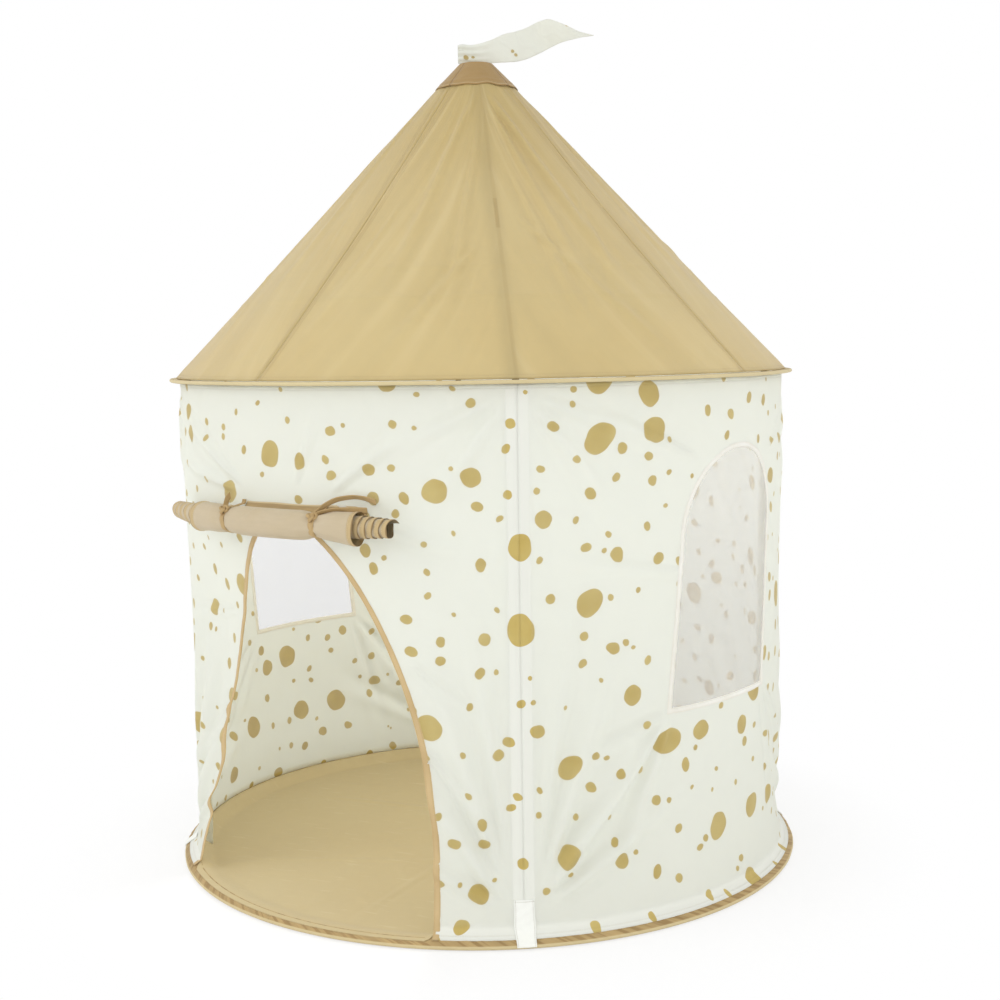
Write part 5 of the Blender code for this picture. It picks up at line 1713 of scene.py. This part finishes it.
class OBJECT_OT_tent_poles(bpy.types.Operator):
    """Makes the poles round, with their ferrules and elbows, and finishes the hub and hoops."""

    bl_idname = "object.tent_poles"
    bl_label = "Poles and hoops"

    def execute(self, context):
        radius = sizes("poles").radius
        rod = finish_of("fibreglass_rod", rod_finish)
        steel = finish_of("drawn_steel", steel_finish)
        black = finish_of("moulded_black", moulded_finish)
        for corner in POLE_AZIMUTHS:
            pole, ends = "pole_%s_" % corner, {}
            for part in ("foot", "wall", "roof", "top"):
                node = pole + part + "_section"
                ends[part] = ring_ends(node)
                piece = rod_piece("rod_%s_%s" % (corner, part), *ends[part], radius)
                dress(piece, node, "tent", "fibreglass", rod)
            for part in ("wall", "roof"):
                node = pole + part + "_ferrule"
                start, end = ring_ends(node)
                path = start + np.linspace(0, 1, 12)[:, None] * (end - start)
                name = "ferrule_%s_%s" % (corner, part)
                piece = sleeve_tube(name, path, radius + 0.0003, radius + 0.0012)
                dress(piece, node, "tent", "steel", steel)
            piece = elbow_piece("elbow_" + corner, ends["wall"], ends["roof"], radius)
            dress(piece, pole + "elbow", "tent", "black_plastic", black)
        for node, finish in (("apex_hub", black), ("base_hoop", steel), ("eave_hoop", steel)):
            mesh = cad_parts[node].data
            mesh.materials.clear()
            mesh.materials.append(finish)
        return {"FINISHED"}


class OBJECT_OT_tent_stage(bpy.types.Operator):
    """Makes the floor of the studio, its lamps, its sky and the camera."""

    bl_idname = "object.tent_stage"
    bl_label = "Studio"

    def execute(self, context):
        studio = sizes("stage")
        studio_ground()
        place_lamp("key_lamp", studio.key, 2.6, (-1.7, -3.2, 2.3), (0, 0, 0.6))
        place_lamp("fill_lamp", studio.fill, 2.6, (3.6, -0.9, 1.5), (0, 0, 0.6))
        place_lamp("cabin_lamp", studio.cabin, 0.34, (0, 0.04, 0.93), (0, 0.04, 0))
        studio_sky(studio.ambient)
        place_camera(studio.focal_length)
        return {"FINISHED"}


WHITE = (1.0, 1.0, 1.0, 1.0)


def seen(f):
    """1 for rays from the camera, straight, mirrored or through glass, and 0 for light."""
    path = f.node("ShaderNodeLightPath")
    rays = [path.also("Is %s Ray" % kind) for kind in ("Camera", "Glossy", "Transmission")]
    return rays[0].most(rays[1]).most(rays[2])


def studio_ground():
    """A pale round floor whose soft shadow shows near the tent and fades to white away from
    it."""
    radius = np.linspace(0, 1, 24)[:, None] ** 2 * 14.0
    points = around((np.arange(96) * 360 / 96)[None, :], radius, -0.0008)
    cloth = around((np.arange(97) / 96 * 360)[None, :], radius, 0.0)[..., :2]
    obj = grid_object("studio_ground", points, cloth, ring_columns=True, weld=True)
    f = Finish("studio_ground")
    x, y, _ = f.split(f.place())
    away = (x * x + y * y) ** 0.5
    grain = f.grain(f.place(), 30.0, 2.0)
    pale = f.shade(linear(248, 248, 248), 1 + grain * 0.01)
    lit = f.principled(pale, 0.9, None, Specular_IOR_Level=0.1)
    white = f.node("ShaderNodeEmission", {"Color": WHITE, "Strength": 1.0})
    cover = seen(f) * (0.70 + 0.30 * away.rise(0.54, 0.80))
    obj.data.materials.append(f.out(f.blended(cover, lit, white)))
    return obj


def place_lamp(name, power, width, place, target):
    """A square soft lamp that faces a target and isn't seen itself."""
    lamp = bpy.data.lights.new(name, "AREA")
    lamp.energy = power
    lamp.size = width
    obj = placed(name, lamp)
    obj.location = place
    obj.rotation_euler = (Vector(target) - Vector(place)).to_track_quat("-Z", "Y").to_euler()
    obj.visible_camera = False


def studio_sky(ambient):
    """A white world where it is seen, and even ambient light of its own strength."""
    f = Finish("studio_sky", "worlds")
    strengths = (ambient, 1.0)
    values = [{"Color": WHITE, "Strength": strength} for strength in strengths]
    light, white = (f.node("ShaderNodeBackground", each) for each in values)
    f.node("ShaderNodeOutputWorld", [f.blended(seen(f), light, white)])
    bpy.context.scene.world = f.owner


def place_camera(focal_length):
    """The photograph's camera: 2.583 m from the axis at azimuth 39.5 degrees and 0.866 m up,
    looking a little down, turned and tilted by small angles."""
    pitch, yaw, roll, azimuth = -0.1061, 0.0110, -0.0166, math.radians(39.5)
    flat = math.cos(pitch)
    ahead = Vector((math.sin(yaw) * flat, math.cos(yaw) * flat, math.sin(pitch)))
    level = Vector((math.cos(yaw), -math.sin(yaw), 0))
    upright = level.cross(ahead)
    right = math.cos(roll) * level + math.sin(roll) * upright
    up = -math.sin(roll) * level + math.cos(roll) * upright
    turn = Matrix.Rotation(azimuth, 3, "Z")
    lens = bpy.data.cameras.new("camera")
    lens.lens = focal_length
    lens.sensor_width = 36.0
    lens.clip_end = 60.0
    matrix = Matrix([turn @ right, turn @ up, -(turn @ ahead)]).transposed().to_4x4()
    matrix.translation = turn @ Vector((0, -2.5827, 0.8663))
    obj = placed("camera", lens)
    obj.matrix_world = matrix
    bpy.context.scene.camera = obj
    bpy.context.scene.view_settings.view_transform = "Standard"


# ---------------------------------------------------------------- panel and add-on

OPERATORS = (
    OBJECT_OT_tent_bands,
    OBJECT_OT_tent_walls,
    OBJECT_OT_tent_openings,
    OBJECT_OT_tent_pole_cloth,
    OBJECT_OT_tent_roof,
    OBJECT_OT_tent_door,
    OBJECT_OT_tent_flag,
    OBJECT_OT_tent_poles,
    OBJECT_OT_tent_stage,
)
SETTINGS = {
    "tent_bands": TentBandSizes,
    "tent_walls": TentWallSizes,
    "tent_roof": TentRoofSizes,
    "tent_door": TentDoorSizes,
    "tent_flag": TentFlagSizes,
    "tent_poles": TentPoleSizes,
    "tent_stage": TentStageSizes,
}


class VIEW3D_PT_play_tent(bpy.types.Panel):
    """Lists the tent's sizes, colours and makers."""

    bl_idname = "VIEW3D_PT_play_tent"
    bl_label = "Play tent"
    bl_space_type = "VIEW_3D"
    bl_region_type = "UI"
    bl_category = "Play tent"

    def draw(self, context):
        for name, group in SETTINGS.items():
            box = self.layout.box()
            box.label(text=group.__doc__)
            for key in group.__annotations__:
                box.prop(getattr(context.scene, name), key)
        for operator in OPERATORS:
            self.layout.operator(operator.bl_idname)


def register():
    for name, group in SETTINGS.items():
        bpy.utils.register_class(group)
        setattr(bpy.types.Scene, name, bpy.props.PointerProperty(type=group))
    for made in (*OPERATORS, VIEW3D_PT_play_tent):
        bpy.utils.register_class(made)


def unregister():
    for made in (VIEW3D_PT_play_tent, *reversed(OPERATORS)):
        bpy.utils.unregister_class(made)
    for name, group in reversed(SETTINGS.items()):
        delattr(bpy.types.Scene, name)
        bpy.utils.unregister_class(group)


def main():
    register()
    for operator in OPERATORS:
        group, name = operator.bl_idname.split(".")
        getattr(getattr(bpy.ops, group), name)()


if __name__ == "__main__":
    main()
